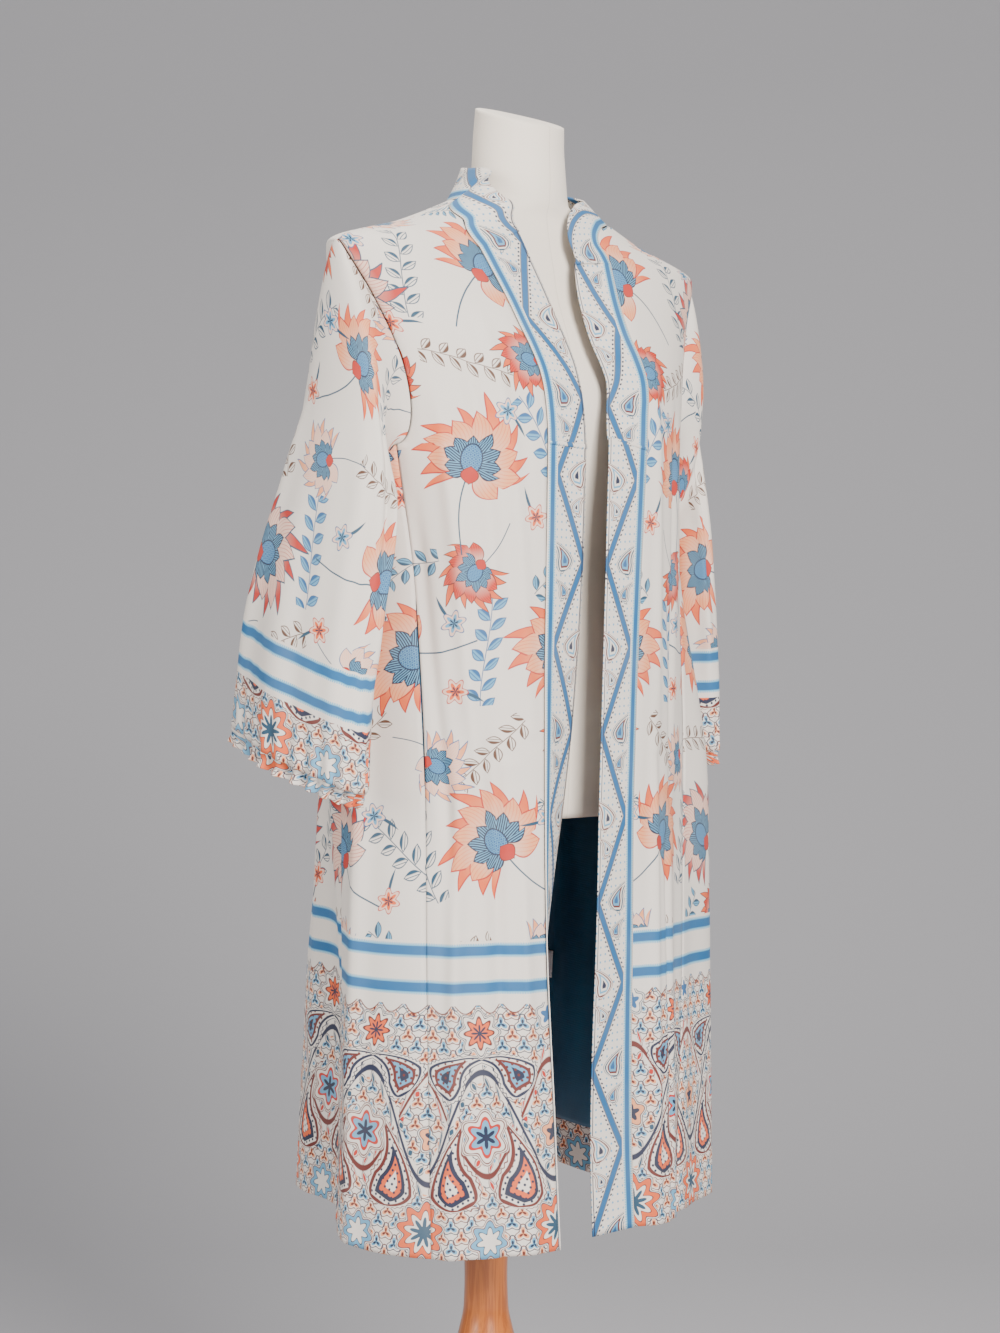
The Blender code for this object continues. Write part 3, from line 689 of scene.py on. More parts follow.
# The coat's body: one back and two fronts of crepe, joined at the shoulders and down the side seams.
# The rings and folds are those of the coat's solids, with finer creases that the light shows up.

WALL = 0.0008
HEM_HEIGHT = 0.467
UNDERARM_HEIGHT = 1.222
TIP_HEIGHT = 1.411
NECK_POINT_HEIGHT = 1.466
ARMHOLE_MIDDLE = (TIP_HEIGHT + UNDERARM_HEIGHT) / 2
ARMHOLE_HALF = (TIP_HEIGHT - UNDERARM_HEIGHT) / 2
SHOULDER_ROWS = 24
ARMHOLE_STEPS = 70
SKIRT_ROWS = 170
BACK_COLUMNS = 120
FRONT_COLUMNS = 44

Ring = namedtuple("Ring", "height half_width front back centre_x centre_y")
BODY_RINGS = [
    Ring(0.440, 0.206, 0.160, 0.192, 0.009, -0.014),
    Ring(0.600, 0.203, 0.158, 0.180, 0.008, -0.016),
    Ring(0.740, 0.200, 0.152, 0.168, 0.006, -0.020),
    Ring(0.880, 0.196, 0.144, 0.152, 0.004, -0.025),
    Ring(1.030, 0.193, 0.138, 0.136, 0.002, -0.030),
    Ring(1.120, 0.192, 0.135, 0.126, 0.001, -0.034),
    Ring(1.210, 0.193, 0.131, 0.118, 0.000, -0.037),
    Ring(1.290, 0.202, 0.114, 0.113, 0.000, -0.043),
    Ring(1.360, 0.218, 0.087, 0.102, 0.000, -0.048),
    Ring(1.411, 0.232, 0.062, 0.088, 0.000, -0.052),
    Ring(1.440, 0.147, 0.054, 0.072, 0.000, -0.052),
    Ring(1.466, 0.083, 0.052, 0.056, 0.000, -0.050),
    Ring(1.476, 0.062, 0.042, 0.044, 0.000, -0.050),
]
BODY_POWER = 2.1

Fold = namedtuple("Fold", "angle spread out start full")
FOLDS = [
    Fold(angle=-10, spread=13, out=-0.030, start=1.00, full=0.50),
    Fold(angle=-42, spread=8, out=-0.010, start=1.10, full=0.60),
    Fold(angle=-76, spread=12, out=0.048, start=1.205, full=0.88),
    Fold(angle=-108, spread=20, out=-0.030, start=0.96, full=0.48),
    Fold(angle=-140, spread=16, out=0.014, start=0.90, full=0.48),
    Fold(angle=46, spread=24, out=0.016, start=0.90, full=0.48),
    Fold(angle=118, spread=20, out=-0.036, start=0.98, full=0.60),
    Fold(angle=150, spread=17, out=0.022, start=1.05, full=0.66),
    Fold(angle=184, spread=18, out=-0.016, start=0.90, full=0.48),
]
BACK_HEM_LIFT = 0.022
LIFT_START = 1.15
LIFT_FULL = 0.80

# A crease runs from its top angle and height to its foot. Out is its height above the cloth.
Crease = namedtuple("Crease", "top_angle top foot_angle foot spread out")
CREASES = [
    Crease(34, 1.38, 26, 1.02, 2.6, 0.0036),
    Crease(44, 1.36, 34, 1.00, 2.8, -0.0042),
    Crease(56, 1.30, 42, 0.92, 3.0, 0.0046),
    Crease(66, 1.20, 50, 0.84, 2.6, -0.0044),
    Crease(37, 1.02, 34, 0.48, 2.6, -0.0064),
    Crease(48, 0.98, 49, 0.46, 2.8, 0.0072),
    Crease(28, 0.88, 26, 0.46, 2.0, 0.0046),
    Crease(-26, 1.34, -24, 1.00, 2.6, 0.0036),
    Crease(-44, 1.30, -36, 0.92, 2.8, -0.0044),
    Crease(-21, 1.02, -23, 0.48, 2.0, 0.0048),
    Crease(-30, 0.92, -32, 0.46, 2.0, -0.0056),
    Crease(84, 1.14, 88, 0.48, 4.2, 0.0076),
    Crease(104, 1.18, 101, 0.52, 3.6, -0.0070),
    Crease(132, 1.30, 134, 0.58, 4.4, 0.0064),
    Crease(166, 1.36, 168, 0.50, 4.2, -0.0062),
    Crease(-170, 1.28, -166, 0.46, 4.0, 0.0066),
    Crease(-152, 1.32, -158, 0.64, 3.6, -0.0056),
    Crease(-124, 1.24, -126, 0.48, 4.0, 0.0064),
    Crease(-94, 1.16, -92, 0.54, 3.6, 0.0062),
]


def lookup(rows, key):
    """Read every column of a table at a value of its first, along a curve that never overshoots."""
    key = min(max(key, rows[0][0]), rows[-1][0])
    low = max(i for i in range(len(rows) - 1) if rows[i][0] <= key)

    def slope(i, column):
        return (rows[i + 1][column] - rows[i][column]) / (rows[i + 1][0] - rows[i][0])

    def tangent(i, column):
        if i == 0 or i == len(rows) - 1:
            return slope(min(i, len(rows) - 2), column)
        before, after = slope(i - 1, column), slope(i, column)
        return 2 * before * after / (before + after) if before * after > 0 else 0.0

    run = rows[low + 1][0] - rows[low][0]
    t = (key - rows[low][0]) / run
    read = []
    for column in range(len(rows[0])):
        start, end = rows[low][column], rows[low + 1][column]
        read.append(
            (2 * t**3 - 3 * t**2 + 1) * start
            + (t**3 - 2 * t**2 + t) * run * tangent(low, column)
            + (3 * t**2 - 2 * t**3) * end
            + (t**3 - t**2) * run * tangent(low + 1, column)
        )
    return type(rows[0])(*read)


def ramp(value, none, full):
    """Ease from 0 at none to 1 at full, whichever is the larger."""
    t = min(max((value - none) / (full - none), 0.0), 1.0)
    return t * t * (3 - 2 * t)


def turn_between(angle, other):
    return (other - angle + 180) % 360 - 180


ring_at = {}


def on_body(angle, height, creased=False):
    """A point of the coat's body. Angles run from 0 at the front, through 90 at the wearer's right."""
    key = round(height, 6)
    if key not in ring_at:
        ring_at[key] = lookup(BODY_RINGS, height)
    ring = ring_at[key]
    sine, cosine = math.sin(math.radians(angle)), math.cos(math.radians(angle))
    depth = ring.front if cosine > 0 else ring.back
    power = 2 / BODY_POWER
    out = 0.0
    for fold in FOLDS:
        away = turn_between(fold.angle, angle) / fold.spread
        out += fold.out * math.exp(-away * away) * ramp(height, fold.start, fold.full)
    if creased:
        for crease in CREASES:
            share = (crease.top - height) / (crease.top - crease.foot)
            if -0.05 < share < 1.2:
                centre = crease.top_angle + (crease.foot_angle - crease.top_angle) * share
                away = turn_between(centre, angle) / crease.spread
                fade = ramp(share, 0.0, 0.3) * (1 - 0.6 * ramp(share, 0.8, 1.2))
                out += crease.out * math.exp(-away * away) * fade
    lift = BACK_HEM_LIFT * ramp(-cosine, -0.3, 0.8) * ramp(height, LIFT_START, LIFT_FULL)
    return Vector(
        (
            ring.centre_x - math.copysign(ring.half_width * abs(sine) ** power, sine) - out * sine,
            ring.centre_y - math.copysign(depth * abs(cosine) ** power, cosine) - out * cosine,
            height + lift,
        )
    )


def body_normal(angle, height):
    around = on_body(angle + 0.5, height) - on_body(angle - 0.5, height)
    up = on_body(angle, height + 0.002) - on_body(angle, height - 0.002)
    return up.cross(around).normalized()


def beside_body(angle, height, out):
    return on_body(angle, height, True) + out * body_normal(angle, height)


Seam = namedtuple("Seam", "height angle")
RIGHT_SIDE_SEAM = [
    Seam(0.440, 54.5),
    Seam(0.744, 58.0),
    Seam(0.900, 59.5),
    Seam(1.077, 64.0),
    Seam(1.222, 72.0),
]
LEFT_SIDE_SEAM = [
    Seam(0.440, -42.0),
    Seam(0.744, -52.0),
    Seam(0.900, -58.0),
    Seam(1.077, -62.0),
    Seam(1.222, -72.0),
]
ARMHOLE_SPREAD = 14.0
SHOULDER_ANGLE = 90.0
RIGHT_FRONT_EDGE = [
    Seam(0.440, 17.5),
    Seam(0.610, 19.8),
    Seam(0.750, 21.0),
    Seam(0.900, 20.6),
    Seam(1.080, 20.0),
    Seam(1.200, 19.0),
    Seam(1.277, 17.6),
    Seam(1.342, 21.2),
    Seam(1.376, 23.2),
    Seam(1.410, 25.5),
    Seam(1.436, 42.5),
    Seam(1.450, 66.0),
    Seam(1.458, 80.0),
    Seam(1.466, 86.0),
]
LEFT_FRONT_EDGE = [
    Seam(0.440, -17.0),
    Seam(0.741, -14.0),
    Seam(0.904, -12.2),
    Seam(1.080, -15.0),
    Seam(1.213, -19.0),
    Seam(1.256, -21.0),
    Seam(1.286, -22.5),
    Seam(1.303, -21.5),
    Seam(1.337, -17.0),
    Seam(1.376, -15.0),
    Seam(1.423, -15.5),
    Seam(1.445, -26.0),
    Seam(1.458, -66.0),
    Seam(1.466, -86.0),
]
POCKET_SLIT = (0.90, 1.077)
POCKET_SLIT_OPEN = 0.55
SEAM_TUCK = 0.0014
SEAM_TUCK_SPREAD = 0.030
SEAM_HALF_GAP = 0.00015


def armhole_angle(height, side_angle):
    """The angle of the armhole's middle at a height, and its reach to each side."""
    share = min(max((height - ARMHOLE_MIDDLE) / ARMHOLE_HALF, -1.0), 1.0)
    middle = side_angle + (SHOULDER_ANGLE - side_angle) * (share + 1) / 2
    return middle, ARMHOLE_SPREAD * math.sqrt(1 - share * share)


def side_edge(height, side, toward_back):
    """The angle at which a panel ends at the wearer's side: 1 is the right side and -1 the left."""
    seam = RIGHT_SIDE_SEAM if side > 0 else LEFT_SIDE_SEAM
    if height >= TIP_HEIGHT:
        return side * SHOULDER_ANGLE
    if height <= UNDERARM_HEIGHT:
        return lookup(seam, height).angle
    middle, reach = armhole_angle(height, abs(seam[-1].angle))
    return side * (middle + (reach if toward_back else -reach))


def slit(height):
    """How far the side seam stands open, in degrees, along the pocket's slit."""
    low, high = POCKET_SLIT
    if not low < height < high:
        return 0.0
    return POCKET_SLIT_OPEN * math.sin(math.pi * (height - low) / (high - low)) ** 0.5


def panel_heights(shoulder_rows, armhole_steps, skirt_rows):
    rise = NECK_POINT_HEIGHT - TIP_HEIGHT
    heights = [NECK_POINT_HEIGHT - rise * i / shoulder_rows for i in range(shoulder_rows)]
    for step in range(armhole_steps):
        heights.append(ARMHOLE_MIDDLE + ARMHOLE_HALF * math.cos(math.pi * step / armhole_steps))
    drop = UNDERARM_HEIGHT - HEM_HEIGHT
    return heights + [UNDERARM_HEIGHT - drop * i / skirt_rows for i in range(skirt_rows + 1)]


FINE_HEIGHTS = panel_heights(SHOULDER_ROWS, ARMHOLE_STEPS, SKIRT_ROWS)


def cut_cloth(name, rows, material, core, anchor, closed=False, wall=WALL, inward=True):
    """A shell through rows of points from its lower edge up, with its print map in metres of cloth."""
    tall, wide = len(rows) - 1, len(rows[0]) - 1
    cloth, spots = grid_of(tall, wide)
    printed = cloth.loops.layers.uv.new("print")
    middle = round(anchor * wide)
    laid = []
    climbed = [0.0] * (wide + 1)
    for j, row in enumerate(rows):
        if j:
            climbed = [climbed[i] + (row[i] - rows[j - 1][i]).length for i in range(wide + 1)]
        across = [0.0]
        for i in range(wide):
            across.append(across[-1] + (row[i + 1] - row[i]).length)
        laid.append([(across[i] - across[middle], climbed[i]) for i in range(wide + 1)])
    for face in cloth.faces:
        for loop in face.loops:
            j, i = spots[loop.vert]
            loop[printed].uv = laid[j][i]
    for point, (j, i) in spots.items():
        point.co = rows[j][i]
    if closed:
        bmesh.ops.remove_doubles(cloth, verts=cloth.verts, dist=0.00001)
    cloth.normal_update()
    facing = 0.0
    for face in cloth.faces:
        centre = face.calc_center_median()
        facing += face.normal.dot(centre - core(centre))
    if facing < 0:
        bmesh.ops.reverse_faces(cloth, faces=cloth.faces)
    piece = finished_piece(name, cloth, material)
    layer = piece.modifiers.new("thickness", "SOLIDIFY")
    layer.thickness = wall
    layer.offset = -1 if inward else 1
    return piece


def body_core(point):
    return Vector((0, -0.03, point.z))


# The size that each piece is taken to be cut to, in metres, and its area if it is no rectangle.
# The photo shows no pattern: widths and areas of back, fronts, sleeves and bands were measured on
# this model's own cloth and rounded, and the lining and the lengths were estimated from it.
Cut = namedtuple("Cut", "width length area held", defaults=(None, "hung"))


def stand_for(piece, node):
    """Put a piece in its solid's place."""
    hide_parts(node)
    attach(piece, "root")


def sew(piece, node):
    """Put a cloth piece in its solid's place."""
    stand_for(piece, node)


def panel_rows(first_edge, last_edge, columns, heights, out):
    rows = []
    for height in reversed(heights):
        first, last = first_edge(height), last_edge(height)
        per_degree = (on_body(first + 1, height) - on_body(first, height)).length
        gap = math.copysign(SEAM_HALF_GAP / max(per_degree, 1e-6), last - first)
        first, last = first + gap, last - gap
        row = []
        for i in range(columns + 1):
            angle = first + (last - first) * i / columns
            near = min(abs(angle - first), abs(angle - last)) * per_degree
            tuck = SEAM_TUCK * math.exp(-((near / SEAM_TUCK_SPREAD * 4) ** 2))
            row.append(beside_body(angle, height, out(height) - tuck))
        rows.append(row)
    return rows


body_crepe = printed_crepe(
    "printed crepe, body", border_top=0.234, stripe_heights=(0.284, 0.250), stripe_half=0.0052
)

back_rows = panel_rows(
    lambda height: side_edge(height, 1, True) + slit(height) / 2,
    lambda height: 360 + side_edge(height, -1, True) - slit(height) / 2,
    BACK_COLUMNS,
    FINE_HEIGHTS,
    lambda _: 0.0,
)
back_panel = cut_cloth("back_panel", back_rows, body_crepe, body_core, anchor=0.5)
sew(back_panel, "back")

for side_name, side, edge_rows in (("right", 1, RIGHT_FRONT_EDGE), ("left", -1, LEFT_FRONT_EDGE)):
    front_rows = panel_rows(
        lambda height: lookup(edge_rows, height).angle,
        lambda height: side_edge(height, side, False) - side * slit(height) / 2,
        FRONT_COLUMNS,
        FINE_HEIGHTS,
        lambda _: 0.0,
    )
    front_panel = cut_cloth("front_panel_" + side_name, front_rows, body_crepe, body_core, anchor=0.0)
    sew(front_panel, "front_" + side_name)


# The sleeves: wide one-piece tubes, set into the armholes and gathered into a narrow elastic cuff.
# The elastic draws the last centimetres of cloth into fine pleats that fan out below it.

SleeveRing = namedtuple("SleeveRing", "share out_x out_z in_x in_z centre_y half_width drop")
SLEEVE_RINGS = [
    SleeveRing(0.00, 0.2325, 1.411, 0.194, 1.222, -0.051, 0.046, 0.000),
    SleeveRing(0.06, 0.2365, 1.390, 0.203, 1.205, -0.053, 0.048, 0.003),
    SleeveRing(0.16, 0.2385, 1.345, 0.204, 1.165, -0.056, 0.052, 0.006),
    SleeveRing(0.30, 0.2420, 1.280, 0.205, 1.140, -0.056, 0.063, 0.010),
    SleeveRing(0.46, 0.2530, 1.200, 0.205, 1.100, -0.048, 0.076, 0.014),
    SleeveRing(0.62, 0.2670, 1.120, 0.205, 1.050, -0.034, 0.083, 0.019),
    SleeveRing(0.78, 0.2770, 1.040, 0.205, 1.000, -0.023, 0.087, 0.025),
    SleeveRing(0.90, 0.2810, 0.978, 0.206, 0.957, -0.018, 0.090, 0.028),
    SleeveRing(1.00, 0.2820, 0.932, 0.207, 0.926, -0.015, 0.093, 0.030),
]
SLEEVE_BLEND = 0.16
SLEEVE_STEPS = 14
SLEEVE_COLUMNS = 208
SLEEVE_ROWS = 96
CUFF_DEPTH = 0.015
CUFF_GATHERS = 26
GATHER_COLUMNS = 12
SLEEVE_GATHER_START = 0.84
SLEEVE_GATHER_DEPTH = 0.0040
SLEEVE_WAVES = 5
SLEEVE_WAVE_DEPTH = 0.003
ARMHOLE_GAP = 0.0003

SleeveSide = namedtuple("SleeveSide", "name side seam back_shift out_shift width_share drop_share")
SLEEVE_SIDES = [
    SleeveSide("right", -1, RIGHT_SIDE_SEAM, 0.0, 0.0, 1.0, 1.0),
    SleeveSide("left", 1, LEFT_SIDE_SEAM, 0.035, 0.014, 0.94, 0.15),
]
SleeveCrease = namedtuple("SleeveCrease", "turn start end spread out lean")
SLEEVE_CREASES = [
    SleeveCrease(0.22, 0.10, 0.62, 0.030, -0.0060, 0.05),
    SleeveCrease(0.30, 0.18, 0.80, 0.024, 0.0064, -0.03),
    SleeveCrease(0.12, 0.30, 0.95, 0.030, 0.0048, 0.02),
    SleeveCrease(0.02, 0.42, 1.02, 0.034, -0.0056, 0.03),
    SleeveCrease(0.90, 0.25, 0.90, 0.030, 0.0054, -0.04),
    SleeveCrease(0.78, 0.20, 0.85, 0.030, -0.0058, 0.03),
    SleeveCrease(0.40, 0.24, 0.90, 0.026, -0.0050, 0.02),
    SleeveCrease(0.66, 0.30, 0.95, 0.030, 0.0052, -0.03),
]


def sleeve_point(sleeve, ring, turn, inset=0.0, along=0.0):
    """A point on a sleeve's ring: turn runs from 0 at the outer side, through the front, to 1."""
    outer = Vector((sleeve.side * ring.out_x, 0, ring.out_z))
    inner = Vector((sleeve.side * ring.in_x, 0, ring.in_z))
    middle = (outer + inner) / 2 + Vector((0, ring.centre_y, 0))
    middle.y += sleeve.back_shift * ramp(ring.share, 0.0, 0.3)
    middle.x += sleeve.side * sleeve.out_shift * ramp(ring.share, 0.3, 0.9)
    across = (outer - inner) / 2
    forward = Vector((0, -ring.half_width * sleeve.width_share, -ring.drop * sleeve.drop_share))
    wave = SLEEVE_WAVE_DEPTH * ramp(ring.share, 0.3, 0.9)
    cosine, sine = math.cos(2 * math.pi * turn), math.sin(2 * math.pi * turn)
    radial = across.normalized() * cosine + forward.normalized() * sine
    bulge = wave * math.sin(2 * math.pi * SLEEVE_WAVES * turn + 1.2)
    for crease in SLEEVE_CREASES:
        share = (ring.share - crease.start) / (crease.end - crease.start)
        if 0 < share < 1.2:
            away = ((turn - crease.turn - crease.lean * share + 0.5) % 1 - 0.5) / crease.spread
            fade = ramp(share, 0, 0.3) * (1 - ramp(share, 0.7, 1.2))
            bulge += crease.out * math.exp(-away * away) * fade
    gather = SLEEVE_GATHER_DEPTH * ramp(ring.share, SLEEVE_GATHER_START, 1.0)
    bulge -= gather * (1 + math.cos(2 * math.pi * CUFF_GATHERS * turn)) / 2
    normal = across.cross(forward).normalized()
    if normal.z > 0:
        normal.negate()
    return middle + across * cosine + forward * sine + radial * (bulge - inset) + normal * along


def armhole_point(sleeve, step):
    """A point on the armhole's loop, held off the body by the seam's gap."""
    height = ARMHOLE_MIDDLE + ARMHOLE_HALF * math.cos(math.pi * step / SLEEVE_STEPS)
    angle = side_edge(height, -sleeve.side, step > SLEEVE_STEPS)
    return on_body(angle, height) + ARMHOLE_GAP * body_normal(angle, height)


sleeve_crepe = printed_crepe(
    "printed crepe, sleeves", border_top=0.056, stripe_heights=(0.099, 0.068), stripe_half=0.0050
)

for sleeve in SLEEVE_SIDES:
    sleeve_rows = []
    for j in range(SLEEVE_ROWS + 1):
        share = 1 - j / SLEEVE_ROWS
        ring = lookup(SLEEVE_RINGS, share)
        keep = 1 - ramp(share, 0.0, SLEEVE_BLEND)
        row = []
        for i in range(SLEEVE_COLUMNS + 1):
            turn = (i / SLEEVE_COLUMNS + 0.5) % 1
            free = sleeve_point(sleeve, ring, turn)
            sewn = armhole_point(sleeve, turn * 2 * SLEEVE_STEPS) if keep else free
            row.append(sewn.lerp(free, 1 - keep))
        sleeve_rows.append(row)

    def sleeve_core(point, rows=sleeve_rows):
        nearest = min(rows, key=lambda row: abs(sum(p.z for p in row[::12]) / len(row[::12]) - point.z))
        return sum(nearest[::12], Vector()) / len(nearest[::12])

    tube = cut_cloth(
        "sleeve_tube_" + sleeve.name, sleeve_rows, sleeve_crepe, sleeve_core, anchor=0.5, closed=True
    )
    sew(tube, "sleeve_" + sleeve.name)

CuffRow = namedtuple("CuffRow", "along pinch wave")
CUFF_ROWS = [
    CuffRow(0.0003, 0.0010, 0.0004),
    CuffRow(0.45 * CUFF_DEPTH, 0.0050, 0.0022),
    CuffRow(CUFF_DEPTH, 0.0035, 0.0030),
]
CUFF_FINE_ROWS = 14
CUFF_WALL = 0.0007
CUFF_UNEVENNESS = 0.0006
CUFF_UNEVEN_WAVES = 7
cuff_crepe = printed_crepe("printed crepe, cuffs", border_top=0.20, stripe_heights=(), stripe_half=0.005)

for sleeve in SLEEVE_SIDES:
    cuff_rows = []
    columns = CUFF_GATHERS * GATHER_COLUMNS
    for j in range(CUFF_FINE_ROWS + 1):
        along = CUFF_DEPTH + (CUFF_ROWS[0].along - CUFF_DEPTH) * j / CUFF_FINE_ROWS
        shape = lookup(CUFF_ROWS, along)
        row = []
        for i in range(columns + 1):
            turn = (i / columns + 0.5) % 1
            gather = shape.wave * math.cos(2 * math.pi * CUFF_GATHERS * turn)
            uneven = CUFF_UNEVENNESS * math.sin(2 * math.pi * CUFF_UNEVEN_WAVES * turn)
            inset = shape.pinch + gather + uneven
            row.append(sleeve_point(sleeve, SLEEVE_RINGS[-1], turn, inset, shape.along))
        cuff_rows.append(row)

    def cuff_core(_, rows=cuff_rows):
        return sum(rows[0][::12], Vector()) / len(rows[0][::12])

    ruffle = cut_cloth(
        "cuff_ruffle_" + sleeve.name, cuff_rows, cuff_crepe, cuff_core, 0.5, closed=True, wall=CUFF_WALL
    )
    sew(ruffle, "cuff_" + sleeve.name)


# The band: a strip of border print, 54 mm wide, round the back of the neck and down both front edges.
# Its blue stripe lies along the seam, and a zigzag edged with beads, with paisleys and small sky-blue
# dots, fills the rest of it.

BandStation = namedtuple("BandStation", "height turn width")
RIGHT_BAND = [
    BandStation(0.440, 72, 0.054),
    BandStation(0.700, 70, 0.054),
    BandStation(0.790, 58, 0.054),
    BandStation(0.840, 47, 0.054),
    BandStation(0.908, 38, 0.054),
    BandStation(1.050, 21, 0.054),
    BandStation(1.300, 15, 0.054),
    BandStation(1.400, 2, 0.054),
    BandStation(1.436, -6, 0.054),
    BandStation(1.450, -14, 0.046),
    BandStation(1.466, -28, 0.040),
]
LEFT_BAND = [
    BandStation(0.440, -14, 0.054),
    BandStation(0.740, -8, 0.054),
    BandStation(0.950, 0, 0.054),
    BandStation(1.120, 2, 0.054),
    BandStation(1.200, 10, 0.054),
    BandStation(1.280, 16, 0.054),
    BandStation(1.360, 8, 0.054),
    BandStation(1.400, 2, 0.052),
    BandStation(1.440, 0, 0.042),
    BandStation(1.466, -3, 0.033),
]
BAND_SMOOTHING = 4
COARSE_SHOULDER_ROWS = 6
COARSE_ARMHOLE_STEPS = 14
COARSE_SKIRT_ROWS = 11
BACK_NECK_STEPS = 13
BACK_NECK_TURN = -40
BACK_NECK_WIDTH = 0.038
BAND_FINE_STEPS = 7
BAND_COLUMNS = 12
BAND_WIDTH = 0.054
BAND_STRIPE = 0.013
BAND_WALL = 0.0011
BAND_CLEARANCE = 0.0003
BAND_TURNED_CLEARANCE = 0.0012
ZIGZAG_PERIOD = 0.162

# Two paisleys lie in each triangle of the zigzag. Reach is a share of the print's width.
BandPaisley = namedtuple("BandPaisley", "phase reach lean inks")
BAND_PAISLEYS = [
    BandPaisley(0.0, 0.32, 0.12, (TEAL, CREAM, WINE, SKY, BLUE)),
    BandPaisley(0.5, 0.68, -0.12, (WINE, CREAM, SKY, CREAM, NAVY)),
]
BAND_PAISLEY_SIZES = [(-0.030, 0.0062), (0.000, 0.0105)]


def band_print():
    material, tree, across, along = cloth_material("printed crepe, band")
    zone = BAND_WIDTH - BAND_STRIPE
    inner = across - BAND_STRIPE
    seeds = distance_from_centre(across.repeated(0.0068), along.repeated(0.0072)) - 0.0011
    colour = printed_over(CREAM, SKY, seeds.filled())
    swing = (along + ZIGZAG_PERIOD / 2).zigzag(ZIGZAG_PERIOD / 2) * (zone / (ZIGZAG_PERIOD / 2))
    beside = inner - swing
    off = beside * (1 / math.hypot(1, 2 * zone / ZIGZAG_PERIOD))
    colour = printed_over(colour, CREAM, (abs(off) - 0.0074).filled())
    beads = distance_from_centre(abs(off) - 0.0056, along.repeated(0.0046)) - 0.0011
    colour = printed_over(colour, NAVY, beads.filled())
    colour = printed_over(colour, STRIPE_BLUE, off.outlined(0.0030))
    colour = printed_over(colour, NAVY, (abs(off) - 0.0034).outlined(0.00040))
    colour = printed_over(colour, NAVY, (inner - zone + 0.0022).outlined(0.0006))
    for phase, reach, lean, inks in BAND_PAISLEYS:
        for lift, size in BAND_PAISLEY_SIZES:
            y = (along - phase * ZIGZAG_PERIOD).repeated(ZIGZAG_PERIOD) - lift
            x = inner - zone * reach
            x, y = turned_by(x, y, lean)
            edge = paisley(x * (1 if phase else -1), y, size)
            colour = printed_over(colour, CREAM, (edge - 0.0022).filled())
            colour = paisley_rings(colour, edge, inks, size)
            colour = printed_over(colour, inks[0], (edge - 0.0018).outlined(0.00035))
    laid = placed_group(tree, stripe, Across=across - BAND_STRIPE / 2, Along=along, Ground=colour)
    laid.inputs["Half Width"].default_value = BAND_STRIPE / 2 - 0.0028
    finish_cloth(tree, across, along, laid.outputs["Color"], 0.0010)
    return material


def band_stations(side, edge_rows, band_rows):
    """Angle, height, turn and width of the band from the middle of the neck to the hem."""
    stations = []
    shoulder = side * SHOULDER_ANGLE
    for step in range(BACK_NECK_STEPS + 1):
        angle = side * 180 + (shoulder - side * 180) * step / BACK_NECK_STEPS
        share = ramp(abs(angle), 180, 90)
        turn = BACK_NECK_TURN + (band_rows[-1].turn - BACK_NECK_TURN) * share
        width = BACK_NECK_WIDTH + (band_rows[-1].width - BACK_NECK_WIDTH) * share
        stations.append((angle, NECK_POINT_HEIGHT, turn, width))
    for height in panel_heights(COARSE_SHOULDER_ROWS, COARSE_ARMHOLE_STEPS, COARSE_SKIRT_ROWS):
        row = lookup(band_rows, height)
        stations.append((lookup(edge_rows, height).angle, height, row.turn, row.width))
    return stations


def smoothed(directions):
    for _ in range(BAND_SMOOTHING):
        before = [directions[0]] + directions[:-1]
        after = directions[1:] + [directions[-1]]
        directions = [(a + 2 * b + c).normalized() for a, b, c in zip(before, directions, after)]
    return directions


def flowing(points, steps):
    """Points along a smooth curve through the given ones, a number of steps between each two."""
    curve = []
    for i in range(len(points) - 1):
        p0, p1 = points[max(i - 1, 0)], points[i]
        p2, p3 = points[i + 1], points[min(i + 2, len(points) - 1)]
        for step in range(steps):
            t = step / steps
            bend = (2 * p0 - 5 * p1 + 4 * p2 - p3) * t * t + (3 * p1 - p0 - 3 * p2 + p3) * t**3
            curve.append(0.5 * (2 * p1 + (p2 - p0) * t + bend))
    return curve + [points[-1]]


band_crepe = band_print()

for side_name, side, edge_rows, band_rows in (
    ("right", 1, RIGHT_FRONT_EDGE, RIGHT_BAND),
    ("left", -1, LEFT_FRONT_EDGE, LEFT_BAND),
):
    stations = band_stations(side, edge_rows, band_rows)
    seam = [on_body(angle, height) for angle, height, _, _ in stations]
    starts, reaches = [], []
    for i, (angle, height, turn, _) in enumerate(stations):
        after = seam[min(i + 1, len(seam) - 1)]
        before = seam[i - 1] if i else Vector((-after.x, after.y, after.z))
        out = body_normal(angle, height)
        across = out.cross((after - before).normalized()).normalized() * side
        turned = math.radians(turn)
        clearance = BAND_CLEARANCE + BAND_TURNED_CLEARANCE * max(0.0, math.sin(turned))
        starts.append(seam[i] + across * clearance)
        reaches.append(across * math.cos(turned) - out * math.sin(turned))
    starts[0].x -= side * SEAM_HALF_GAP
    reaches = smoothed(reaches)
    reaches[0].x = 0.0
    ends = [start + reach * row[3] for start, reach, row in zip(starts, reaches, stations)]
    near, far = flowing(starts, BAND_FINE_STEPS), flowing(ends, BAND_FINE_STEPS)
    band_rows_fine = [
        [a.lerp(b, i / BAND_COLUMNS) for i in range(BAND_COLUMNS + 1)] for a, b in zip(near, far)
    ]
    band_rows_fine.reverse()
    strip = cut_cloth(
        "band_strip_" + side_name, band_rows_fine, band_crepe, body_core, anchor=0.0, wall=BAND_WALL
    )
    sew(strip, "band_" + side_name)


# Inside: a satin lining across the back, two flat pocket bags behind the side seams, and a blank
# woven care label sewn to the lining near its left seam.

